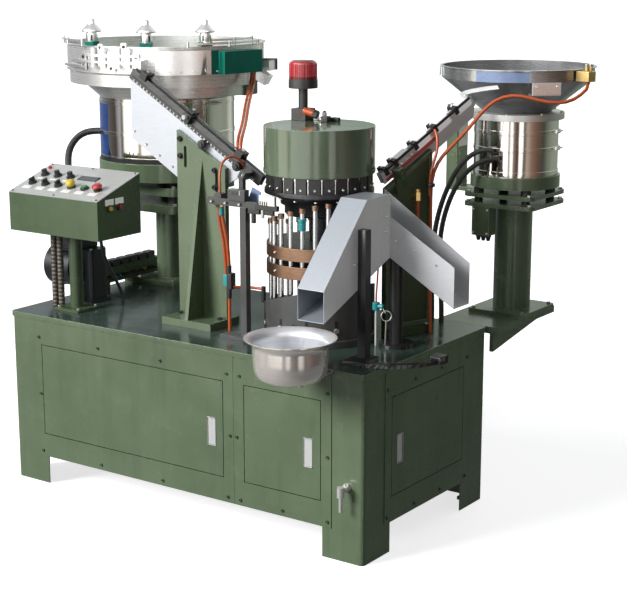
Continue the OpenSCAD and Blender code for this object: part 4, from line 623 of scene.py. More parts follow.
def setSurround():   # round wall for the gloss alone: the camera, shadows and soft light pass it
    made = bpy.data.materials.new("surroundWall")
    tree = bareTree(made)
    where = objectPlace(tree)
    split = addNode(tree, "SeparateXYZ", {0: where}).outputs
    wobble = spread(tree, noise(tree, where, 1.3, 3.0), 0.3, 0.7, -0.05, 0.05)
    bearing = math2(tree, "ADD", math2(tree, "ARCTAN2", split[1], split[0]), wobble)
    ramp = addNode(tree, "ValToRGB", {0: spread(tree, bearing, -math.pi, math.pi)})
    stops = ramp.color_ramp.elements
    while len(stops) < len(surround):
        stops.new(0.5)
    for stop, (angle, colour) in zip(stops, surround):
        stop.position = (angle + 180) / 360
        stop.color = (*[c / wall["strength"] for c in colour], 1)
    foot = spread(tree, split[2], *wall["foot"], wall["footShare"], 1.0)
    upper = spread(tree, split[2], *wall["upper"], wall["strength"], wall["upperStrength"])
    glow = shaderNode(tree, "Emission", ramp.outputs[0], math2(tree, "MULTIPLY", foot, upper))
    addNode(tree, "OutputMaterial", {0: glow})
    part = bmesh.new()
    bmesh.ops.create_cone(part, cap_ends=False, segments=96, radius1=wall["radius"], radius2=wall["radius"],
                          depth=wall["top"])
    bmesh.ops.translate(part, vec=(0, 0, wall["top"] / 2), verts=part.verts)
    ring = stagePiece("surroundWall", part, made)
    ring.visible_camera = ring.visible_diffuse = ring.visible_shadow = ring.visible_transmission = False


def setFloor():   # bright to the camera, dim to soft light, a fading sheen to the gloss
    made = bpy.data.materials.new("paleFloor")
    tree = bareTree(made)
    rays = addNode(tree, "LightPath").outputs
    chalk = shaderNode(tree, "BsdfDiffuse", grey(floorFacts["tone"]))
    glow = shaderNode(tree, "Emission", grey(1), floorFacts["glow"])
    bright = shaderNode(tree, "AddShader", chalk, glow)
    dim = shaderNode(tree, "BsdfDiffuse", grey(floorFacts["shade"]))
    across = addNode(tree, "SeparateXYZ", {0: objectPlace(tree)}).outputs[0]
    fade = spread(tree, across, *floorFacts["fadeX"], floorFacts["sheen"], floorFacts["sheen"] * floorFacts["fade"])
    shine = shaderNode(tree, "Emission", grey(1), fade)
    other = shaderNode(tree, "MixShader", rays["Is Glossy Ray"], dim, shine)
    both = shaderNode(tree, "MixShader", rays["Is Camera Ray"], other, bright)
    addNode(tree, "OutputMaterial", {0: both})
    part = bmesh.new()
    bmesh.ops.create_grid(part, x_segments=1, y_segments=1, size=floorFacts["size"])
    stagePiece("studioFloor", part, made)


setCamera()
setLight()
setSurround()
setFloor()
print("camera, light and floor set")


# Air hoses and cables, each a round tube along a smoothed route
bowlHose = [(68, -97, 1252), (68, -97, 1262), (65, -92, 1284), (61, -83, 1296), (55, -72, 1304), (5, 15, 1338),
            (-96, 165, 1385), (-206, 337, 1438), (-213, 352, 1451), (-217, 360, 1465), (-218, 362, 1480),
            (-218, 362, 1489.4)]
returnHose = [(x - 14, y, z + 8.3 * (1 - i / 11)) for i, (x, y, z) in enumerate(bowlHose)]
hoses = {
    "leftGateHose": {"radius": 6, "route": [
        (78, -181, 640), (78, -181, 760), (80, -184, 880), (80, -194, 970), (74, -204, 1030), (70, -208, 1064),
        (70, -208, 1090)]},
    "rightBowlHose": {"radius": 6, "route": [
        (657, 208, 640), (654, 208, 800), (652, 208, 980), (650, 208, 1120), (648, 212, 1200), (656, 232, 1240),
        (682, 262, 1272), (716, 304, 1318), (744, 350, 1375), (768, 384, 1428), (826, 412, 1462), (880, 436, 1456),
        (928, 460, 1430), (1000, 506, 1424), (1034, 562, 1448), (1030, 612, 1494)]},
    "leftBowlHose": {"radius": 5.5, "route": bowlHose},
    "leftBowlReturn": {"radius": 5.5, "route": returnHose},
}
looseHoses = {   # short hoses and leads that the scene alone shows
    "gateLoopHose": {"radius": 4.2, "route": [
        (70, -215, 1130), (70, -215, 1148), (66, -211, 1180), (61, -200, 1212), (64, -180, 1240), (78, -156, 1250),
        (92, -136, 1238), (97, -124, 1224), (98, -118, 1214)]},
    "gateReturnHose": {"radius": 5.5, "route": [
        (57, -208, 1080), (57, -208, 1060), (60, -204, 1020), (65, -194, 965), (66, -187, 905), (66, -184, 870),
        (66, -183, 840)]},
    "camHose": {"radius": 5, "route": [
        (96, -182, 800), (108, -172, 799), (124, -154, 797), (144, -140, 796), (167, -132, 795), (190, -128, 794)]},
    "trackBranchHose": {"radius": 5, "route": [
        (630, 257, 1338), (643, 251, 1328), (654, 241, 1300), (658, 229, 1265), (656, 215, 1235), (653, 201, 1195),
        (652, 196, 1150), (652, 196, 1120)]},
    "tapLead": {"radius": 3, "route": [(605, -60, 786), (606, -60, 820), (611, -62, 875), (617, -66, 930)]},
}
conduitTone = (0.022, 0.022, 0.023)
flexTone = (0.17, 0.145, 0.12)
conduits = {
    "leftConduit": {"radius": 13, "stiff": "stiff", "passes": 9,
                    "look": ribbed("leftConduitRibs", conduitTone, 75, 0.0, 0.45), "route": [
        (-862, 206, 1239), (-884, 190, 1240), (-908, 160, 1236), (-922, 120, 1210), (-918, 80, 1168), (-880, 36, 1122),
        (-819, -23, 1077), (-807, -39, 1068), (-798, -58, 1061), (-792, -78, 1057), (-790, -100, 1056),
        (-790, -112, 1056)]},
    "rightConduitA": {"radius": 9, "lay": "hanging", "stiff": "stiff",
                      "look": ribbed("rightConduitARibs", conduitTone, 150, 0.0, 0.45), "route": [
        (745, 515, 1218), (690, 508, 1212), (640, 500, 1180), (600, 488, 1130), (572, 470, 1060), (558, 450, 982),
        (560, 430, 914), (574, 406, 830), (592, 386, 752), (604, 374, 690), (604, 374, 640)]},
    "rightConduitB": {"radius": 9, "lay": "hanging", "stiff": "stiff",
                      "look": ribbed("rightConduitBRibs", conduitTone, 150, 0.0, 0.45), "route": [
        (720, 512, 1246), (665, 522, 1244), (608, 520, 1208), (568, 508, 1150), (538, 490, 1070), (522, 470, 985),
        (526, 440, 900), (538, 412, 815), (552, 392, 745), (560, 382, 690), (560, 382, 640)]},
    "consoleCable": {"radius": 6, "lay": "hanging", "look": blackPlastic, "route": [
        (-490, -212, 930), (-490, -212, 905), (-493, -200, 862), (-499, -170, 808), (-506, -120, 739), (-511, -88, 690),
        (-513, -80, 664), (-513, -80, 640)]},
}
for name, x in (("consoleFlexA", -715), ("consoleFlexB", -684)):   # two straight flexes from the console to the table
    conduits[name] = {"radius": 12, "lay": "taut", "stiff": "stiff", "look": ribbed(name + "Metal", flexTone, 19, 0.2),
                      "route": [(x, -226, 930), (x, -226, 640)]}


def smoothRoute(route, passes, count=40, fine=24):   # smooth curve through the route, then points at even distances
    points = [Vector(p) for p in route]
    line = [points[0] * 2 - points[1]] + points + [points[-1] * 2 - points[-2]]
    dense = []
    for a, b, c, d in zip(line, line[1:], line[2:], line[3:]):
        for t in (k / fine for k in range(fine)):
            dense.append(0.5 * (2 * b + (c - a) * t + (2 * a - 5 * b + 4 * c - d) * t * t
                                + (3 * b - a - 3 * c + d) * t ** 3))
    dense.append(points[-1])
    run = [0.0]
    for p, q in zip(dense, dense[1:]):
        run.append(run[-1] + (q - p).length)
    even, j = [], 0
    for k in range(count):
        goal = run[-1] * k / (count - 1)
        while j < len(run) - 2 and run[j + 1] < goal:
            j += 1
        part = (goal - run[j]) / max(run[j + 1] - run[j], 1e-9)
        even.append(dense[j].lerp(dense[j + 1], min(1.0, max(0.0, part))))
    for _ in range(passes):   # evens out the corners, the first and last two points stay
        between = [b.lerp((a + c) / 2, 0.5) for a, b, c in zip(even[1:], even[2:], even[3:])]
        even = even[:2] + between[:count - 4] + even[-2:]
    return even


def layCord(name, facts, node=None):
    points = [p * mm for p in smoothRoute(facts["route"], facts.get("passes", 5))]
    curve = bpy.data.curves.new(name, "CURVE")
    curve.dimensions = "3D"
    curve.bevel_depth = facts["radius"] * mm
    curve.bevel_resolution = 4
    curve.use_fill_caps = True
    spline = curve.splines.new("POLY")
    spline.points.add(len(points) - 1)
    for point, where in zip(spline.points, points):
        point.co = (*where, 1)
    spline.use_smooth = True
    curve.materials.append(facts.get("look", hoseOrange))
    thing = place(name, curve)
    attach(thing, "base")
    if node:
        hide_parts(node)


for family, slotName, node in ((hoses, "hose_orange", "air_hoses"), (looseHoses, "hose_orange", None),
                               (conduits, "conduit_black", "cable_conduits")):
    for name, facts in family.items():
        layCord(name, facts, node)
print("hoses and conduits laid")


# Cabinet: frame, panels, doors and latches
cabinet = {"screwR": 5.5, "topRow": 559, "midRow": 345, "lowRow": 125, "midX": (-640, 243, 271, 640),
           "frontX": (-640, -350, -60, 230, 284, 460, 640), "backX": (-630, -315, 0, 315, 630),
           "sideY": (-255, -85, 85, 255), "frameCorner": ((777, 392), 15), "tableCorner": ((780, 395), 18)}


def makeCabinet():
    # faces turned to the right take the painted-shade copy of the sage
    piece = cadCopy("cabinet_frame", 1.6, lambda p, n: 1 if n.x > 0.7 else 0, soft=cabinet["frameCorner"])
    finishPiece("cabinetFrame", piece, [sage, shadedSideSage], "cabinet_frame")
    # the table's top in its own paint, its sides in sage, its right-facing faces in the painted-shade copy
    piece = cadCopy("table_top", 1.8, lambda p, n: 0 if n.z > 0.5 else 2 if n.x > 0.7 else 1,
                    soft=cabinet["tableCorner"])
    finishPiece("tableTop", piece, [tablePaint, sage, shadedSideSage], "table_top")
    ends = (cabinet["topRow"], cabinet["lowRow"])
    rows = (cabinet["topRow"], cabinet["midRow"], cabinet["lowRow"])
    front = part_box("front_panels")[0].y / mm
    piece = cadCopy("front_panels", 0.9)
    places = [(x, front, z) for z in ends for x in cabinet["frontX"]]
    places += [(x, front, cabinet["midRow"]) for x in cabinet["midX"]]
    screwsAt(piece, places, cabinet["screwR"], toFront)
    finishPiece("frontPanels", piece, [sage, deepSageAndShade], "front_panels")
    low, high = (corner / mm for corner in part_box("side_panels"))
    # the side panels are in the painted-shade copy of the sage
    piece = cadCopy("side_panels", 0.9)
    screwsAt(piece, [(high.x, y, z) for z in ends for y in cabinet["sideY"]], cabinet["screwR"], toRight)
    screwsAt(piece, [(low.x, y, z) for z in rows for y in cabinet["sideY"]], cabinet["screwR"], toLeft)
    screwsAt(piece, [(x, high.y, z) for z in rows for x in cabinet["backX"]], cabinet["screwR"], toBack)
    finishPiece("sidePanels", piece, [shadedSideSage, deepSageAndShade], "side_panels")


# latch frames: place along the door, turn of the door, and the four bars as low and high corners
doors = {"large_door": (163, 0), "small_door": (563, 0), "side_door": (-180, 90)}
latchFrame = {"z": 345.5, "thick": 1.6, "sunk": -0.6, "bars": (
    ((-19, -50), (19, -47)), ((-19, 47), (19, 50)), ((-19, -50), (-16, 50)), ((16, -50), (19, 50)))}


def makeDoors():
    for node, (along, turn) in doors.items():
        name = node.split("_")[0] + "Door"
        piece = cadCopy(node, 1.4)
        low, high = (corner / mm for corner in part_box(node))
        base = spot(high.x, along, latchFrame["z"], turn) if turn else spot(along, low.y, latchFrame["z"])
        for (x0, z0), (x1, z1) in latchFrame["bars"]:
            join(piece, block((x1 - x0, latchFrame["thick"], z1 - z0), 0.5),
                 inFrame(base, (x0 + x1) / 2, latchFrame["sunk"], (z0 + z1) / 2), 1)
        # the side door is in the painted-shade copy of the sage
        finishPiece(name, piece, [shadedSideSage if turn else sage, boltSteel], node)
        plainPiece(name + "Latch", node + "_latch", 1.2, latchSteel)


makeCabinet()
makeDoors()
plainPiece("controlGear", "control_gear", 1.2, gearPaint)
plainPiece("drivePulley", "drive_pulley", 0.8, steel)
plainPiece("driveBelt", "drive_belt", 0.5, rubber)
print("cabinet and doors made")

# Console: box, face and controls. u runs along the face, v up it and w out of it
console = {"corner": (-820, -340, 1070), "tilt": 18.7, "row": 80, "knobRow": 150, "u": (49, 114, 179, 244, 309, 374),
           "top": 9.6, "post": (-597, -234), "flange": 46, "flangeZ": 650,
           "screwU": (12, 218, 425), "screwV": (10, 231),
           "sidePlates": ((-382, -300, 1052), (-382, -248, 1052)), "plateV": 48, "smallPlateV": 121}
faceFrame = spot(*console["corner"], console["tilt"], "X")


def onFace(u, v, w=0.0, turn=0.0):
    return faceFrame @ spot(u, v, w, turn)


def faceTint(where, normal):
    u, v, w = (faceFrame.inverted() @ (where * mm)) / mm
    if u > 440:
        return 1
    if w < 3.4:
        return 0
    if v < 60:
        return 2
    if v > 185:
        return 3
    return 4 if 215 < u < 318 and 130 < v < 172 else 1


def makeConsole():
    piece = cadCopy("console_box", 2.0)
    screwsAt(piece, corners(console["post"], console["flange"], console["flange"], console["flangeZ"]), 7, hexed=True)
    # these plates are in the glowing label white: painted light
    for x, y, z in console["sidePlates"]:   # blank plates above the side buttons
        addBlock(piece, (x, y, z), (x + 1.2, y + 44, z + 22), 0.4, 2)
    finishPiece("consoleBox", piece, [consoleSage, boltSteel, labelWhiteGlow], "console_box")
    piece = cadCopy("console_face", 0.5, faceTint)
    for u in console["screwU"]:
        for v in console["screwV"]:
            join(piece, capScrew(3.2), onFace(u, v, 3), 1)
    # these plates are in the glowing label white: painted light
    for u in console["u"]:   # blank plate under each control
        join(piece, block((38, 20, 1.2), 0.3), onFace(u, console["plateV"], 3.5), 2)
    for u in console["u"][:3]:
        join(piece, block((30, 9, 1), 0.3), onFace(u, console["smallPlateV"], 3.4), 2)
        for turn in range(-135, 136, 27):   # dial marks round each knob
            across, up, _ = outward(90 - turn)
            join(piece, block((0.9, 3.2, 0.5)), onFace(u + 20 * across, console["knobRow"] + 20 * up, 3.1, -turn), 1)
    finishPiece("consoleFace", piece, [faceAlloy, blackPlastic, labelWhiteGlow, redPlastic, darkGlass],
                "console_face")


buttons = {"yellow_button": (yellowPlastic, "yellow_plastic"), "green_button": (greenPlastic, "green_plastic"),
           "stop_button": (redPlastic, "red_plastic"), "side_button_yellow": (yellowPlastic, "yellow_plastic"),
           "side_button_red": (redPlastic, "red_plastic")}
startLens = [(0, 0), (16.5, 0), (17.5, 3), (17.5, 9), (15, 14), (9, 17), (0, 18)]


def makeControls():
    top = console["top"]
    kinds = (("selector_", console["row"], 0.8, "Switch"), ("knob_", console["knobRow"], 0.6, "Dial"))
    for kind, v, edge, ending in kinds:
        for node, u in zip((kind + side for side in ("left", "middle", "right")), console["u"]):
            piece = cadCopy(node, edge)
            easeFit(piece, onFace(u, v), 3, 4.6, 0.95, 9.2)
            if ending == "Switch":
                join(piece, block((1.6, 11, 0.6), 0.1), onFace(u, v + 5, top + 15.9), 1)
            else:
                for turn in range(0, 360, 18):   # grip ribs
                    join(piece, block((1.6, 1.3, 11), 0.3), onFace(*around((u, v), 9.4, turn, top + 10.5), turn), 0)
                join(piece, block((1.2, 7, 0.6), 0.1), onFace(u, v + 5.5, top + 16.9), 1)
            finishPiece(node.replace("_", "") + ending, piece, [blackPlastic, whitePlastic], node)
    for node, (look, slotName) in buttons.items():
        piece = cadCopy(node, 1.2)
        if node == "yellow_button":   # tall lens of the start button
            join(piece, turned(startLens, 32), onFace(console["u"][3], console["row"], top + 6), 0)
        finishPiece(node.replace("_", "") + "Cap", piece, [look], node)


makeConsole()
makeControls()
print("console made")

# Drive and valves on the table
motor = {"foot": (-655, -95), "boltGap": 34, "boltZ": 840, "low": (-792, -152, 838), "high": (-664, -42, 948),
         "ribs": 6, "ribZ": 856, "ribPitch": 15}
manifold = {"y0": 60, "pitch": 52, "count": 6, "right": -722, "portZ": 690, "portGap": 11, "baseTop": 672}
inletNut = (715, -400, 257)


def makeDrive():
    piece = cadCopy("drive_motor", 1.2)
    for foot in corners(motor["foot"], motor["boltGap"], motor["boltGap"], motor["boltZ"]):
        join(piece, hexBolt(7), at(*foot), 1)
    (x0, y0, _), (x1, y1, _) = motor["low"], motor["high"]
    addBlock(piece, motor["low"], motor["high"], 5)   # upper motor housing with cooling ribs
    for k in range(motor["ribs"]):
        z = motor["ribZ"] + motor["ribPitch"] * k
        addBlock(piece, (x0 - 3, y0 - 3, z), (x1 + 3, y1 + 3, z + 4))
    finishPiece("driveMotor", piece, [navy, boltSteel], "drive_motor")
    piece = cadCopy("valve_manifold", 1.2, lambda p, n: 3 if p.z < manifold["baseTop"] else 0)
    x, z = manifold["right"], manifold["portZ"]
    for i in range(manifold["count"]):
        for dy in (-manifold["portGap"], manifold["portGap"]):
            y = manifold["y0"] + manifold["pitch"] * i + dy
            join(piece, rod(6, 14, 1, 16), at(x, y, z, toRight), 1 if i == 4 and dy > 0 else 0)
            join(piece, rod(4.2, 9, 0.6, 12), at(x + 14, y, z, toRight), 2 if i == 1 else 0)
    finishPiece("valveManifold", piece, [blackPlastic, brass, turquoisePlastic, deepSageAndShade],
                "valve_manifold")
    piece = cadCopy("air_inlet", 0.8)
    join(piece, rod(13, 10, 1.2, 6), at(*inletNut, toFront))
    finishPiece("airInlet", piece, [inletAlloy], "air_inlet")


makeDrive()
print("drive and valves made")

# Left feeder
leftFeeder = {
    "mounts": ((983, 1017), (1050, 1072)), "boltGap": 178, "footGap": 88, "footZ": 660, "drumZ": 1141, "drumR": 264,
    "straps": (1251.06, 1367.7), "strapAngle": 352, "film": (1162, 1368, 217, 250), "ledgeTop": 1486, "rimZ": 1490,
    "postAngles": (264, 299.5, 333), "postR": 376, "postZ": 1590, "trayScrews": (306, 312, 318, 324, 330, 336),
    "tray": (429, 1502), "plateR": 386, "railR": (394, 399), "rodFoot": 1586, "housing": (330, 12, 1442),
    "exitBlock": (414, 5, 1548, 351), "exitScrew": (414, 8, 1566), "deflector": (408, 16, 1508)}
# outer sheets under the rim and their seams: inner and outer radius, low and high, start and end
rimSheets = ((357, 361, 1400, 1441, 292, 366), (366, 374, 1441, 1488, 292, 368),
             (371, 376, 1438, 1442, 292, 368), (371, 376, 1484, 1488, 292, 368))
# adjustable track plates on the rim: angle, low, high, width
rimPlates = ((258, 1500, 1562, 30), (272, 1518, 1598, 22), (279, 1496, 1570, 34), (287, 1520, 1604, 22),
             (294, 1500, 1566, 26))
rimRails = ((248, 300, 1532), (262, 296, 1556), (236, 262, 1512))   # start, end, height
rimRods = ((397, 1600, 322, 371), (382, 1612, 336, 368), (391, 1606, 222, 258))   # radius, height, start, end
hopperCap = [(0, 14), (21, 14), (21, 44), (19, 46), (19, 49), (30, 50), (36, 51), (37, 55), (34, 60), (28, 66),
             (23, 71), (20, 75), (15, 77), (15, 81), (13, 82), (13, 93), (10, 97), (0, 97)]


def standPiece(name, node, centre, facts, footX, footY, screwR):   # feeder stand with rubber mounts between its plates
    piece = cadCopy(node, 1.4, lambda p, n: 1 if any(a + 0.5 < p.z < b - 0.5 for a, b in facts["mounts"]) else 0)
    screwsAt(piece, corners(centre, footX, footY, facts["footZ"]), screwR, tint=2, hexed=True)
    for z, _ in facts["mounts"]:
        screwsAt(piece, corners(centre, facts["boltGap"], facts["boltGap"], z), screwR, tint=2, hexed=True)
    finishPiece(name, piece, [sage, rubber, boltSteel], node)


def strapToggles(piece, centre, facts, tint):   # over-centre toggles that pull a drum's straps tight
    angle = facts["strapAngle"]
    out = Vector(outward(angle))
    side = Vector((-out.y, out.x, 0))
    for z in facts["straps"]:
        middle = Vector(around(centre, facts["drumR"] + 3, angle, z))
        join(piece, block((9, 40, 15), 1.5), spot(*middle, angle), tint)
        join(piece, rod(3, 68, 0.6, 10), at(*(middle + out * 6 - side * 34), side), tint)


def makeLeftBowl():
    c = leftCentre
    axis = spot(*c, 0)
    standPiece("leftStand", "left_stand", c, leftFeeder, leftFeeder["footGap"], leftFeeder["footGap"], 9)

    piece = cadCopy("left_drum", 0.8)
    strapToggles(piece, c, leftFeeder, 1)
    join(piece, hoop(262.4, 264.5, 16, 96), at(*c, leftFeeder["drumZ"] + 1), 2)
    join(piece, arcBar(262.1, 263.4, *leftFeeder["film"]), axis, 3)
    finishPiece("leftDrum", piece, [chrome, steel, blackPaint, blueFilm], "left_drum")

    def insideTint(p, n):
        inward = (p.x - c[0]) * n.x + (p.y - c[1]) * n.y < 5
        return 1 if p.z < leftFeeder["ledgeTop"] and n.z > 0.2 and inward else 0
    piece = cadCopy("left_bowl", 0.6, insideTint)
    join(piece, hoop(379.5, 383, 10, 128, 0.6), at(*c, leftFeeder["rimZ"]), 0)
    for sheet in rimSheets:
        join(piece, arcBar(*sheet, 40), axis, 0)
    join(piece, block((84, 92, 92), 4), onRing(c, *leftFeeder["housing"]), 2)   # green housing under the rim
    finishPiece("leftBowl", piece, [leftBowlAlloy, teal, deepSageAndShade], "left_bowl")


def toolingTint(p, n):
    dx, dy = p.x - leftCentre[0], p.y - leftCentre[1]
    angle = math.degrees(math.atan2(dy, dx)) % 360
    return 1 if (angle > 333 or angle < 20) and math.hypot(dx, dy) > 382 else 0


def makeLeftTooling():
    c = leftCentre
    axis = spot(*c, 0)
    posts = [around(c, leftFeeder["postR"], a, leftFeeder["postZ"]) for a in leftFeeder["postAngles"]]
    piece = cadCopy("left_tooling", 0.9, toolingTint)
    dropLoose(piece, lambda m: m.z > 1585 and any(math.hypot(m.x - x, m.y - y) < 45 for x, y, _ in posts))
    for (x, y, z), a in zip(posts, leftFeeder["postAngles"]):   # hopper posts: coated foot, slotted body, bell cap
        base = spot(x, y, z, a + 90)
        join(piece, block((46, 34, 16), 2), inFrame(base, 0, 0, 8), 1)
        join(piece, turned(hopperCap, 28), base, 0)
        for turn in (45, 135, 225, 315):
            join(piece, block((1.6, 7, 22), 0.5), inFrame(base @ spot(0, 0, 0, turn), 20.8, 0, 30), 3)
        screwsAt(piece, [around((x, y), 14, a + turn, z + 16) for turn in (90, -90)], 4, tint=2)
    r, z = leftFeeder["tray"]
    for a in leftFeeder["trayScrews"]:
        join(piece, capScrew(3.4), fromRing(c, r, a, z), 2)
    for a, low, high, width in rimPlates:
        join(piece, block((6, width, high - low), 0.8), onRing(c, leftFeeder["plateR"], a, (low + high) / 2), 0)
        for z in (low + 14, high - 14):
            join(piece, rod(6.5, 1.2, 0.2, 14), fromRing(c, leftFeeder["plateR"] + 3, a, z), 3)
    for start, end, z in rimRails:
        join(piece, arcBar(*leftFeeder["railR"], z - 4, z + 5, start, end), axis, 0)
    foot = leftFeeder["rodFoot"]
    for r, z, start, end in rimRods:
        join(piece, arcBar(r - 4, r + 4, z - 4, z + 4, start, end, 30), axis, 0)
        for a in (start, (start + end) / 2, end):
            join(piece, rod(6, z + 8 - foot, 1, 14), at(*around(c, r, a, foot)), 2)
    join(piece, block((40, 22, 40), 1.6), onRing(c, *leftFeeder["exitBlock"]), 4)
    screwsAt(piece, [around(c, *leftFeeder["exitScrew"])], 7, tint=2)
    side = onRing(c, *leftFeeder["deflector"])   # deflector bracket with its rubber edge
    join(piece, block((72, 62, 40), 2.5), side, 0)
    for y, z, size in ((33, 2, (78, 4, 44)), (0, 22, (78, 70, 4))):
        join(piece, block(size, 1.2), inFrame(side, 3, y, z), 3)
    join(piece, block((56, 50, 40), 2), side @ spot(-4, -4, -44, 30, "Y"), 0)
    finishPiece("leftTooling", piece, [trayAlloy, teal, boltSteel, blackPlastic, bronze],
                "left_tooling")


makeLeftBowl()
makeLeftTooling()
print("left feeder made")

# Right feeder
rightFeeder = {"mounts": ((1050, 1070), (1085, 1105)), "boltGap": 122, "footGapX": 98, "footGapY": 108, "footZ": 655,
               "straps": (1246.45, 1306.75), "strapAngle": 8, "drumR": 153, "clampZ": 1348.5,
               "film": (1494, 1530, 266, 306), "screwRing": (162, 1372), "airBlock": (304, -13, 1513),
               "anglePlate": (280, -42, 1474), "backPlate": (280, 208, 1518)}
controller = {"glandX": (638, 658, 678), "glandY": 572, "glandZ": 930, "boxX": (630, 686), "boxY": 545,
              "boxZ": (940, 1025), "coverX": 501, "coverY": (648, 716), "coverZ": (1095, 1375),
              "plate": (502, 682, 1290)}


def makeRightFeeder():
    c = rightCentre
    standPiece("rightStand", "right_stand", c, rightFeeder, rightFeeder["footGapX"], rightFeeder["footGapY"], 8)

    def drumTint(p, n):
        return 1 if p.z > rightFeeder["clampZ"] else 3 if math.hypot(p.x - c[0], p.y - c[1]) > 155 else 0
    piece = cadCopy("right_drum", 0.8, drumTint)
    strapToggles(piece, c, rightFeeder, 2)
    r, z = rightFeeder["screwRing"]
    screwsAt(piece, [around(c, r, a, z) for a in range(15, 375, 45)], 5, tint=2)
    finishPiece("rightDrum", piece, [chrome, clampAlloy, boltSteel, blackPlastic], "right_drum")

    piece = cadCopy("right_bowl", 0.6)
    airBlock = onRing(c, *rightFeeder["airBlock"])   # brass air block with its fittings
    join(piece, block((56, 40, 36), 2), airBlock, 1)
    for y in (-11, 11):
        join(piece, rod(7, 16, 1, 6), inFrame(airBlock, 10, y, 18), 1)
        join(piece, rod(5, 8, 0.8, 14), inFrame(airBlock, 10, y, 34), 3)
    plate = onRing(c, *rightFeeder["anglePlate"])   # pale angle plate under the rim
    join(piece, block((8, 104, 42), 1), plate, 2)
    join(piece, block((38, 104, 6), 1), inFrame(plate, -18, 0, -21), 2)
    for y in (-38, 38):
        join(piece, capScrew(4), plate @ spot(4, y, 8, 90, "Y"), 3)
    join(piece, block((10, 60, 44), 1.2), onRing(c, *rightFeeder["backPlate"]), 2)
    join(piece, arcBar(271.3, 272.8, *rightFeeder["film"]), spot(*c, 0), 4)   # film left on the rim
    finishPiece("rightBowl", piece, [rightBowlAlloy, brass, trayAlloy, boltSteel, paleFilm],
                "right_bowl")

    piece = cadCopy("feeder_controller", 1.6)
    for x in controller["glandX"]:   # cable glands under the terminal box
        join(piece, rod(11, 8, 1, 6), at(x, controller["glandY"], controller["glandZ"], downward), 1)
        join(piece, rod(9, 14, 2, 16, 6), at(x, controller["glandY"], controller["glandZ"] - 8, downward), 1)
    boxScrews = [(x, controller["boxY"], z) for x in controller["boxX"] for z in controller["boxZ"]]
    screwsAt(piece, boxScrews, 4, toFront, 2)
    coverScrews = [(controller["coverX"], y, z) for y in controller["coverY"] for z in controller["coverZ"]]
    screwsAt(piece, coverScrews, 4, toRight, 2)
    join(piece, block((3, 62, 120), 1), spot(*controller["plate"]), 3)   # blank plate
    finishPiece("feederController", piece, [sage, blackPlastic, boltSteel, faceAlloy],
                "feeder_controller")


makeRightFeeder()
print("right feeder made")

# Tracks, towers and gates. x runs up each track from its low end, z out of it
tracks = {"slope": 30.6, "leftLow": (178, -105, 1184), "rightLow": (545, 41, 1204), "rightTurn": 72.4, "legY": 17}
tilt = Matrix.Rotation(math.radians(-tracks["slope"]), 4, "Y")
leftSlope = spot(*tracks["leftLow"], 180) @ tilt
rightSlope = spot(*tracks["rightLow"], tracks["rightTurn"]) @ tilt
leftTower = {"bolts": ((-174, 1290), (-174, 1230), (-20, 1190), (-20, 1130)), "front": -130,
             "feet": [(-172, -148, 665), (8, -148, 665)]}
leftPlate = {"screws": ((560, -196), (490, -206), (420, -206), (350, -206)),
             "knobs": ((-77, -110, 1276), (76, -110, 1211))}
leftTrack = {"screws": 36, "first": 26, "pitch": 17.6, "brackets": (120, 370, 610), "middle": 365}
exitRail = [(652, 392, 1446), (668, 402, 1455), (690, 406, 1462), (720, 405, 1468), (752, 404, 1474), (792, 406, 1480)]
rightTrack = {"clamps": (22, 70, 172, 274, 384), "covers": (107, 207, 312, 422), "sides": (207, 312, 422),
              "screws": 16, "first": 40, "pitch": 26}


def holdDown(piece, base, x, size, topZ, legZ, tint):   # bracket over a track's slot
    join(piece, block(size, 1), inFrame(base, x, 0, topZ), tint)
    for y in (-tracks["legY"], tracks["legY"]):
        join(piece, block((size[0], 6, 26), 1), inFrame(base, x, y, legZ), tint)


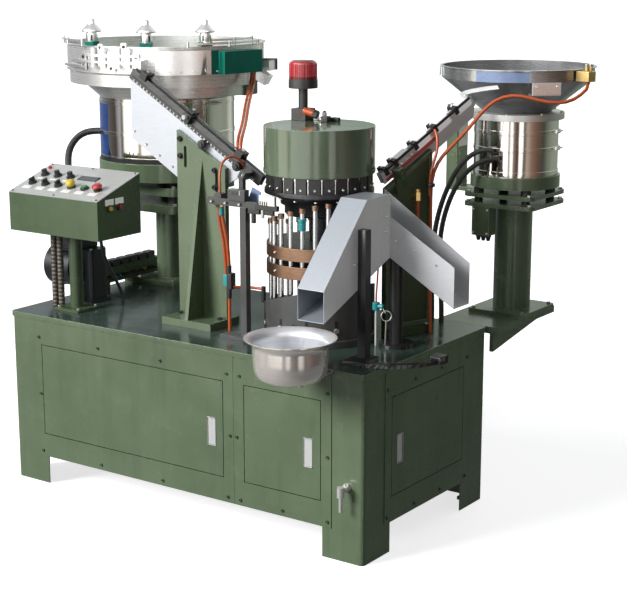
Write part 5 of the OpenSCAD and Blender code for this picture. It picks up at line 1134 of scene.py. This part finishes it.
def makeLeftTrack():
    # faces turned to the right take the deep sage: painted shade on the rib's side away from the light
    piece = cadCopy("left_tower", 1.4, lambda p, n: 2 if n.x > 0.6 else 0)
    for x, z in leftTower["bolts"]:   # bolts in the tower's slots
        join(piece, rod(11, 2.5, 0.5, 20), at(x, leftTower["front"], z, toFront), 1)
        join(piece, capScrew(8.5), at(x, leftTower["front"] - 2.5, z, toFront), 1)
    screwsAt(piece, leftTower["feet"], 10, hexed=True)
    finishPiece("leftTower", piece, [sage, blackPaint, deepSageAndShade], "left_tower")

    piece = cadCopy("left_track_plate", 0.6)
    for x, z in leftPlate["screws"]:
        join(piece, capScrew(4.5), inFrame(leftSlope, x, 5, z, toBack), 1)
    for x, y, z in leftPlate["knobs"]:
        join(piece, rod(6, 12, 0.5, 14), at(x, y, z, toFront), 2)
        join(piece, rod(17, 15, 3, 8), at(x, y - 12, z, toFront), 2)
        join(piece, rod(10, 5, 1, 16), at(x, y - 27, z, toFront), 2)
    finishPiece("leftTrackPlate", piece, [plateAlloy, boltSteel, blackPlastic], "left_track_plate")

    piece = cadCopy("left_track", 0.7)
    for k in range(leftTrack["screws"]):   # screws that hold the near bar's wear strip
        x = leftTrack["first"] + leftTrack["pitch"] * k
        join(piece, capScrew(3.6), inFrame(leftSlope, x, 12.4, -33, toBack), 1)
    join(piece, block((628, 2, 5), 0.5), inFrame(leftSlope, 344, 13, -24), 2)
    for x in leftTrack["brackets"]:
        holdDown(piece, leftSlope, x, (30, 42, 6), 16, 4, 2)
        join(piece, hexBolt(7, 6), inFrame(leftSlope, x, 0, 19), 1)
    join(piece, block((540, 5, 4), 0.8), inFrame(leftSlope, leftTrack["middle"], 0, 11), 0)
    join(piece, block((34, 24, 34), 2), inFrame(leftSlope, leftTrack["middle"], 22, -6), 2)
    join(piece, rod(9, 16, 2, 16), inFrame(leftSlope, leftTrack["middle"], 34, -2, toBack), 3)
    finishPiece("leftTrack", piece, [darkSteel, boltSteel, blackPaint, whitePlastic], "left_track")


gatePost = {
    "looks": [postPaint, inletAlloy, brass, turquoisePlastic, blackPlastic, boltSteel, paleFilm, whitePlastic],
    "blocks": [   # low corner, high corner, rounding, look
        ((248, -256, 1096), (340, -242, 1113), 1, 4), ((266, -257, 1112), (331, -245, 1146), 1.2, 1),   # carrier, comb
        ((214, -250, 1078), (262, -230, 1097), 1.5, 4), ((286, -254, 1080), (322, -242, 1097), 1.5, 4),
        ((131, -252, 1116), (203, -226, 1154), 1.5, 0),   # cylinder body and its marks
        ((149, -253, 1136), (160, -251, 1148), 0.5, 4), ((165, -253, 1136), (176, -251, 1148), 0.5, 4),
        ((180, -253, 1136), (184, -251, 1150), 0.5, 7), ((49, -215, 1078), (64, -200, 1095), 1.5, 4),
        ((60, -194, 800), (78, -172, 842), 2, 3), ((78, -196, 792), (98, -170, 848), 2, 4)],   # shut-off valve
    "rods": [   # foot, direction, size, look
        ((232, -240, 1046), upward, (8, 34, 1, 16), 4), ((276, -249, 1068), upward, (6, 30, 1, 14), 5),
        ((70, -208, 1090), downward, (8, 8, 0.8, 6), 2), ((70, -208, 1082), downward, (9, 30, 1, 16), 3),
        ((78.5, -182, 758), upward, (9, 34, 1, 16), 4), ((78.5, -183, 848), upward, (9.5, 26, 1, 16), 4)],
    "teeth": 4, "tooth": (270, -258, 1112), "toothPitch": 9, "filmPlate": (208, -205, 1124),
    "armScrews": (60, 120, 180)}


def makeGates():
    piece = cadCopy("gate_post", 1.0)
    addParts(piece, gatePost)
    x, y, z = gatePost["tooth"]
    for k in range(gatePost["teeth"]):
        left = x + gatePost["toothPitch"] * k
        addBlock(piece, (left, y, z), (left + 4, y + 2, z + 14), 0.4, 4)
    join(piece, block((40, 4, 62), 0.8), spot(*gatePost["filmPlate"], 22, "Y"), 6)
    screwsAt(piece, [(x, -250.5, 1106) for x in gatePost["armScrews"]], 4.5, toFront, 5)
    finishPiece("gatePost", piece, gatePost["looks"], "gate_post")
    plainPiece("leftGate", "left_gate", 0.6, gateSteel)
    plainPiece("rightGate", "right_gate", 0.6, gateSteel)


rightTower = {"near": -25, "frame": ((14, 27, 665, 1150), (201, 214, 665, 1262), (14, 214, 665, 682)), "shoulder": 1155,
              "valveX": 136, "feetX": (34, 194), "footZ": 665, "tie": (651, 203, 1150)}


def makeRightTrack():
    piece = cadCopy("right_tower", 1.4)
    face = spot(*tracks["rightLow"][:2], 0, tracks["rightTurn"])
    near, x = rightTower["near"], rightTower["valveX"]
    for x0, x1, z0, z1 in rightTower["frame"]:   # raised edge frame
        join(piece, block((x1 - x0, 5, z1 - z0), 1), inFrame(face, (x0 + x1) / 2, near - 2, (z0 + z1) / 2), 1)
    top = rightTower["shoulder"] + 100 * math.tan(math.radians(tracks["slope"])) - 8
    join(piece, block((228, 5, 13), 1), inFrame(face, 114, near - 2, top) @ tilt, 1)
    join(piece, rod(9, 24, 1, 16), inFrame(face, x, near, 1120, toFront), 2)   # brass valve and its hose
    for z, size, tint in ((1106, (13, 30, 1.5, 6), 2), (1134, (9, 12, 1, 16), 2), (1032, (7, 76, 1, 16), 3)):
        join(piece, rod(*size), inFrame(face, x, near - 20, z), tint)
    feet = [tuple(inFrame(face, u, near - 12, rightTower["footZ"]).translation / mm) for u in rightTower["feetX"]]
    screwsAt(piece, feet, 8, tint=4, hexed=True)
    join(piece, rod(16, 12, 2, 18), at(*rightTower["tie"]), 5)   # tie round the two hoses
    finishPiece("rightTower", piece, [deepSageAndShade, sage, brass, hoseOrange, boltSteel, blackPlastic],
                "right_tower")

    piece = cadCopy("right_track", 0.6)
    for x in rightTrack["clamps"]:
        holdDown(piece, rightSlope, x, (16, 40, 7), 8, -4, 1)
        join(piece, capScrew(5), inFrame(rightSlope, x, 0, 12), 2)
    # the covers and their sides glow faintly: painted light
    for x in rightTrack["covers"]:   # clear covers between the clamps
        join(piece, block((62, 27, 7), 1), inFrame(rightSlope, x, 0, 4), 3)
    for x in rightTrack["sides"]:   # and their pale sides on the upper half
        join(piece, block((70, 5, 20), 1), inFrame(rightSlope, x, -15, -14), 3)
    join(piece, block((250, 4, 12), 0.8), inFrame(rightSlope, 135, -14.5, -32), 4)
    join(piece, block((440, 9, 9), 1), inFrame(rightSlope, 236, -13, 1), 1)
    join(piece, sweptBar(exitRail, 18, 13), None, 3)
    for k in range(rightTrack["screws"]):
        x = rightTrack["first"] + rightTrack["pitch"] * k
        join(piece, capScrew(3.2), inFrame(rightSlope, x, -12.4, -20, toFront), 2)
    finishPiece("rightTrack", piece, [railAlloy, blackPaint, boltSteel, clearCoverGlow, coralStrip],
                "right_track")


makeLeftTrack()
makeGates()
makeRightTrack()
print("tracks made")

# Turret
turret = {"centre": (367, -50), "stations": 24, "rodR": 166, "rodEdge": 8.6, "coverZ": 1208, "coverTop": 1366,
          "camSlots": (232, 262, 292, 322), "fittedRod": -75, "bandZ": (889.5, 951.5),
          "slot": (189.5, 705), "slotBolt": (190.5, 700), "elbow": (196, 204, 748), "outerR": 180, "pinR": 171}
airTap = {"ring": ((646, -60, 748), (0.6, -0.8, 0.1)), "ringR": 17, "wireR": 2, "rods": (
    ((605, -60, 640), upward, (4, 130, 0.6, 14), 2), ((605, -60, 764), upward, (13, 26, 2, 18), 0),
    ((612, -60, 778), toRight, (8, 22, 1, 14), 0), ((628, -60, 776), (0.62, 0, -0.78), (2, 24, 0.4, 10), 1),
    ((643, -60, 651), (0.03, 0, 1), (3.2, 82, 0.8, 12), 1))}
dialHub = [(72, 1066), (112, 1066), (118, 1072), (118, 1096), (132, 1104), (132, 1120), (150, 1128), (150, 1141.5),
           (72, 1141.5)]


def rodTint(p, n):
    c = turret["centre"]
    step = math.tau / turret["stations"] / 2
    near = round(math.atan2(p.y - c[1], p.x - c[0]) / step)
    spots = (around(c, turret["rodR"], math.degrees((near + k) * step)) for k in (-1, 0, 1))
    return 1 if min(math.hypot(p.x - x, p.y - y) for x, y, _ in spots) > turret["rodEdge"] else 0


def makeTurretFoot():
    c = turret["centre"]
    piece = cadCopy("turret_pedestal", 1.2)
    easeFit(piece, at(*c, 0), 17.4, 18.6, 0.98)
    easeFit(piece, at(*c, 0), 32.6, 33.6, 1.012)
    finishPiece("turretPedestal", piece, [castGrey], "turret_pedestal")
    piece = cadCopy("lift_cam", 1.2)
    (slotR, slotZ), (boltR, boltZ) = turret["slot"], turret["slotBolt"]
    for a in turret["camSlots"]:   # adjusting slots and bolts round the cam
        join(piece, block((3, 12, 56), 1), onRing(c, slotR, a, slotZ), 2)
        join(piece, hexBolt(10, 8), fromRing(c, boltR, a, boltZ), 1)
    join(piece, rod(8, 56, 1, 16), at(*around(c, *turret["elbow"])), 2)   # elbow at the hose's end
    finishPiece("liftCam", piece, [castGrey, boltSteel, blackPaint], "lift_cam")
    piece = bmesh.new()   # air tap beside the cam, with its pull ring
    addParts(piece, airTap)
    wire = [around((airTap["ringR"], 0), airTap["wireR"], a)[:2] for a in range(0, 361, 45)]
    middle, way = airTap["ring"]
    join(piece, turned(wire, 32), at(*middle, way), 1)
    finishPiece("airTap", piece, [turquoisePlastic, boltSteel, whitePlastic])


def makeTurret():
    c = turret["centre"]
    piece = cadCopy("turret_spindle", 0.8)
    join(piece, turned(dialHub, 48), at(*c, 0), 1)
    for a in range(0, 360, 30):
        join(piece, capScrew(7), at(*around(c, 141, a, 1128), downward), 2)
    finishPiece("turretSpindle", piece, [spindleSteel, blackPaint, boltSteel], "turret_spindle")
    piece = cadCopy("station_blocks", 1.6)
    pitch = 360 / turret["stations"]
    for k in range(turret["stations"]):
        join(piece, capScrew(4), fromRing(c, turret["outerR"], pitch * k, 1170), 2)
        x, y, _ = around(c, turret["pinR"], pitch * (k + 0.5))   # bright pin in each gap
        join(piece, rod(4.6, 46, 0.8, 12), at(x, y, 1156), 1)
        join(piece, rod(7, 9, 1, 12), at(x, y, 1197), 1)
    finishPiece("stationBlocks", piece, [blockBlack, rodSteel, boltSteel], "station_blocks")
    piece = cadCopy("lift_rods", 0.6, rodTint)
    x, y, _ = around(c, turret["rodR"], turret["fittedRod"])   # air fitting on one rod
    join(piece, rod(12.5, 34, 1.5, 20), at(x, y, 1034), 2)
    join(piece, rod(15, 10, 1.5, 20), at(x, y, 1064), 2)
    finishPiece("liftRods", piece, [rodSteel, bronze, turquoisePlastic], "lift_rods")
    piece = cadCopy("rod_bands", 0.8)
    for z in turret["bandZ"]:
        for a in range(10, 370, 60):
            join(piece, capScrew(4.5), fromRing(c, turret["outerR"], a, z), 1)
    finishPiece("rodBands", piece, [bronze, boltSteel], "rod_bands")


stubWay = (0.93, 0.2, -0.22)
cover = {"fittings": ((274, 62, 9, 20), (299, 78, 8, 26)),   # place, radius and height
         "blocks": (((325, 17, 1366), (351, 43, 1386), 2, 2), ((341, 53, 1366), (371, 71, 1380), 2, 2)),
         "rods": (((325, 30, 1376), toLeft, (7, 10, 1, 6), 1), ((256, 14, 1401), stubWay, (12.5, 40, 3, 18), 3),
                  ((293, 22, 1392), stubWay, (15, 17, 2, 6), 2))}   # a nut, the orange stub and its black plug
beacon = {"place": (238.5, 36.7), "lensZ": 1506, "cutZ": 1507.5, "rings": 9, "ringPitch": 6, "ribs": 36, "ribR": 47.4,
          "ribZ": 1533}


def makeCover():
    c, top = turret["centre"], turret["coverTop"]
    piece = cadCopy("drum_cover", 2.2)
    join(piece, hoop(187.6, 189.4, 10, 128), at(*c, turret["coverZ"] + 4), 0)
    for x, y, r, h in cover["fittings"]:   # push-in air fittings
        join(piece, rod(r + 4, 8, 1, 6), at(x, y, top), 1)
        join(piece, rod(r, h, 1.2, 18), at(x, y, top), 1)
        join(piece, rod(r - 3, h + 6, 0.8, 14), at(x, y, top), 2)
    addParts(piece, cover)
    finishPiece("drumCover", piece, [coverSage, boltSteel, blackPlastic, hoseOrange], "drum_cover")


def makeBeacon():
    x, y = beacon["place"]
    piece = cadCopy("beacon", 1.5)
    dropLoose(piece, lambda m: m.z > 1510)
    bmesh.ops.delete(piece, geom=[v for v in piece.verts if v.co.z > beacon["cutZ"] * mm], context="VERTS")
    line = [(0, -2), (46, -2)]
    for k in range(beacon["rings"]):   # moulded rings of the lens
        line += [(48, 1 + beacon["ringPitch"] * k), (46.6, 4 + beacon["ringPitch"] * k)]
    line += [(47, 55), (44, 60), (38, 62), (0, 62)]
    join(piece, turned(line, 64), at(x, y, beacon["lensZ"]), 1)
    join(piece, hoop(47, 48.6, 11, 64), at(x, y, beacon["lensZ"] - 1), 2)
    # dark disc on the lens top: painted shade of the lens wall seen edge-on
    join(piece, turned([(0, 0), (39, 0), (39, 0.8), (36, 1.6), (0, 2)], 48), at(x, y, beacon["lensZ"] + 61.5), 2)
    for k in range(beacon["ribs"]):
        join(piece, block((2, 3, 52), 0.5), onRing((x, y), beacon["ribR"], 360 / beacon["ribs"] * k, beacon["ribZ"]), 1)
    finishPiece("beacon", piece, [blackPlastic, lensRedGlow, lensDarkAndShade], "beacon")


makeTurretFoot()
makeTurret()
makeCover()
makeBeacon()
print("turret made")

# Chutes and catch bowl
chutes = {"flankX": 663.2, "frontScrews": ((-95, 1090), (-95, 1040), (-140, 1105), (-200, 1040), (-280, 960)),
          "sideY": -70.2, "sideScrews": ((690, 1010), (760, 985), (840, 945)), "bowlZ": 632}
bowlLine = [(0, 0), (70, 0), (87, 1.6), (100, 7.5), (109, 18), (114.5, 33), (117.2, 52), (118, 72), (118, 106),
            (118.8, 113), (122, 119), (129, 126), (137, 132), (143, 134), (146, 134.4), (146, 137), (142, 136.6),
            (136, 134.2), (127.5, 128), (120.2, 120.8), (116.8, 114), (116, 106), (116, 72), (115.2, 53),
            (112.6, 34.4), (107.4, 20), (98.8, 9.6), (86.4, 3.6), (70, 2), (0, 2)]


def makeChutes():
    # the right-facing flank takes the paler copy of the chute metal: painted light
    piece = cadCopy("front_chute", 0.4, lambda p, n: 2 if n.x > 0.7 and p.x > 640 else 0)
    screwsAt(piece, [(chutes["flankX"], y, z) for y, z in chutes["frontScrews"]], 4, toRight)
    finishPiece("frontChute", piece, [chuteAlloy, boltSteel, litFlankAlloy], "front_chute")
    piece = cadCopy("side_chute", 0.4)
    screwsAt(piece, [(x, chutes["sideY"], z) for x, z in chutes["sideScrews"]], 4, toFront)
    finishPiece("sideChute", piece, [sideAlloy, boltSteel], "side_chute")
    plainPiece("chutePost", "chute_post", 1.2, blackPaint)
    piece = bmesh.new()
    join(piece, turned(bowlLine, 112), at(*catchCentre, chutes["bowlZ"]))
    for face in piece.faces:   # the inside is satin, the outside polished
        away = face.calc_center_median() / mm - Vector((*catchCentre, 0))
        inner = face.normal.z > 0.5 or face.normal.x * away.x + face.normal.y * away.y < 0
        face.material_index = 1 if inner else 0
    # the outside's warm brown clouds are painted reflection
    finishPiece("catchBowl", piece, [catchSteelAndReflection, catchInside], "catch_bowl")
    plainPiece("catchBracket", "catch_bracket", 0.8, steel)


makeChutes()
print("chutes made")
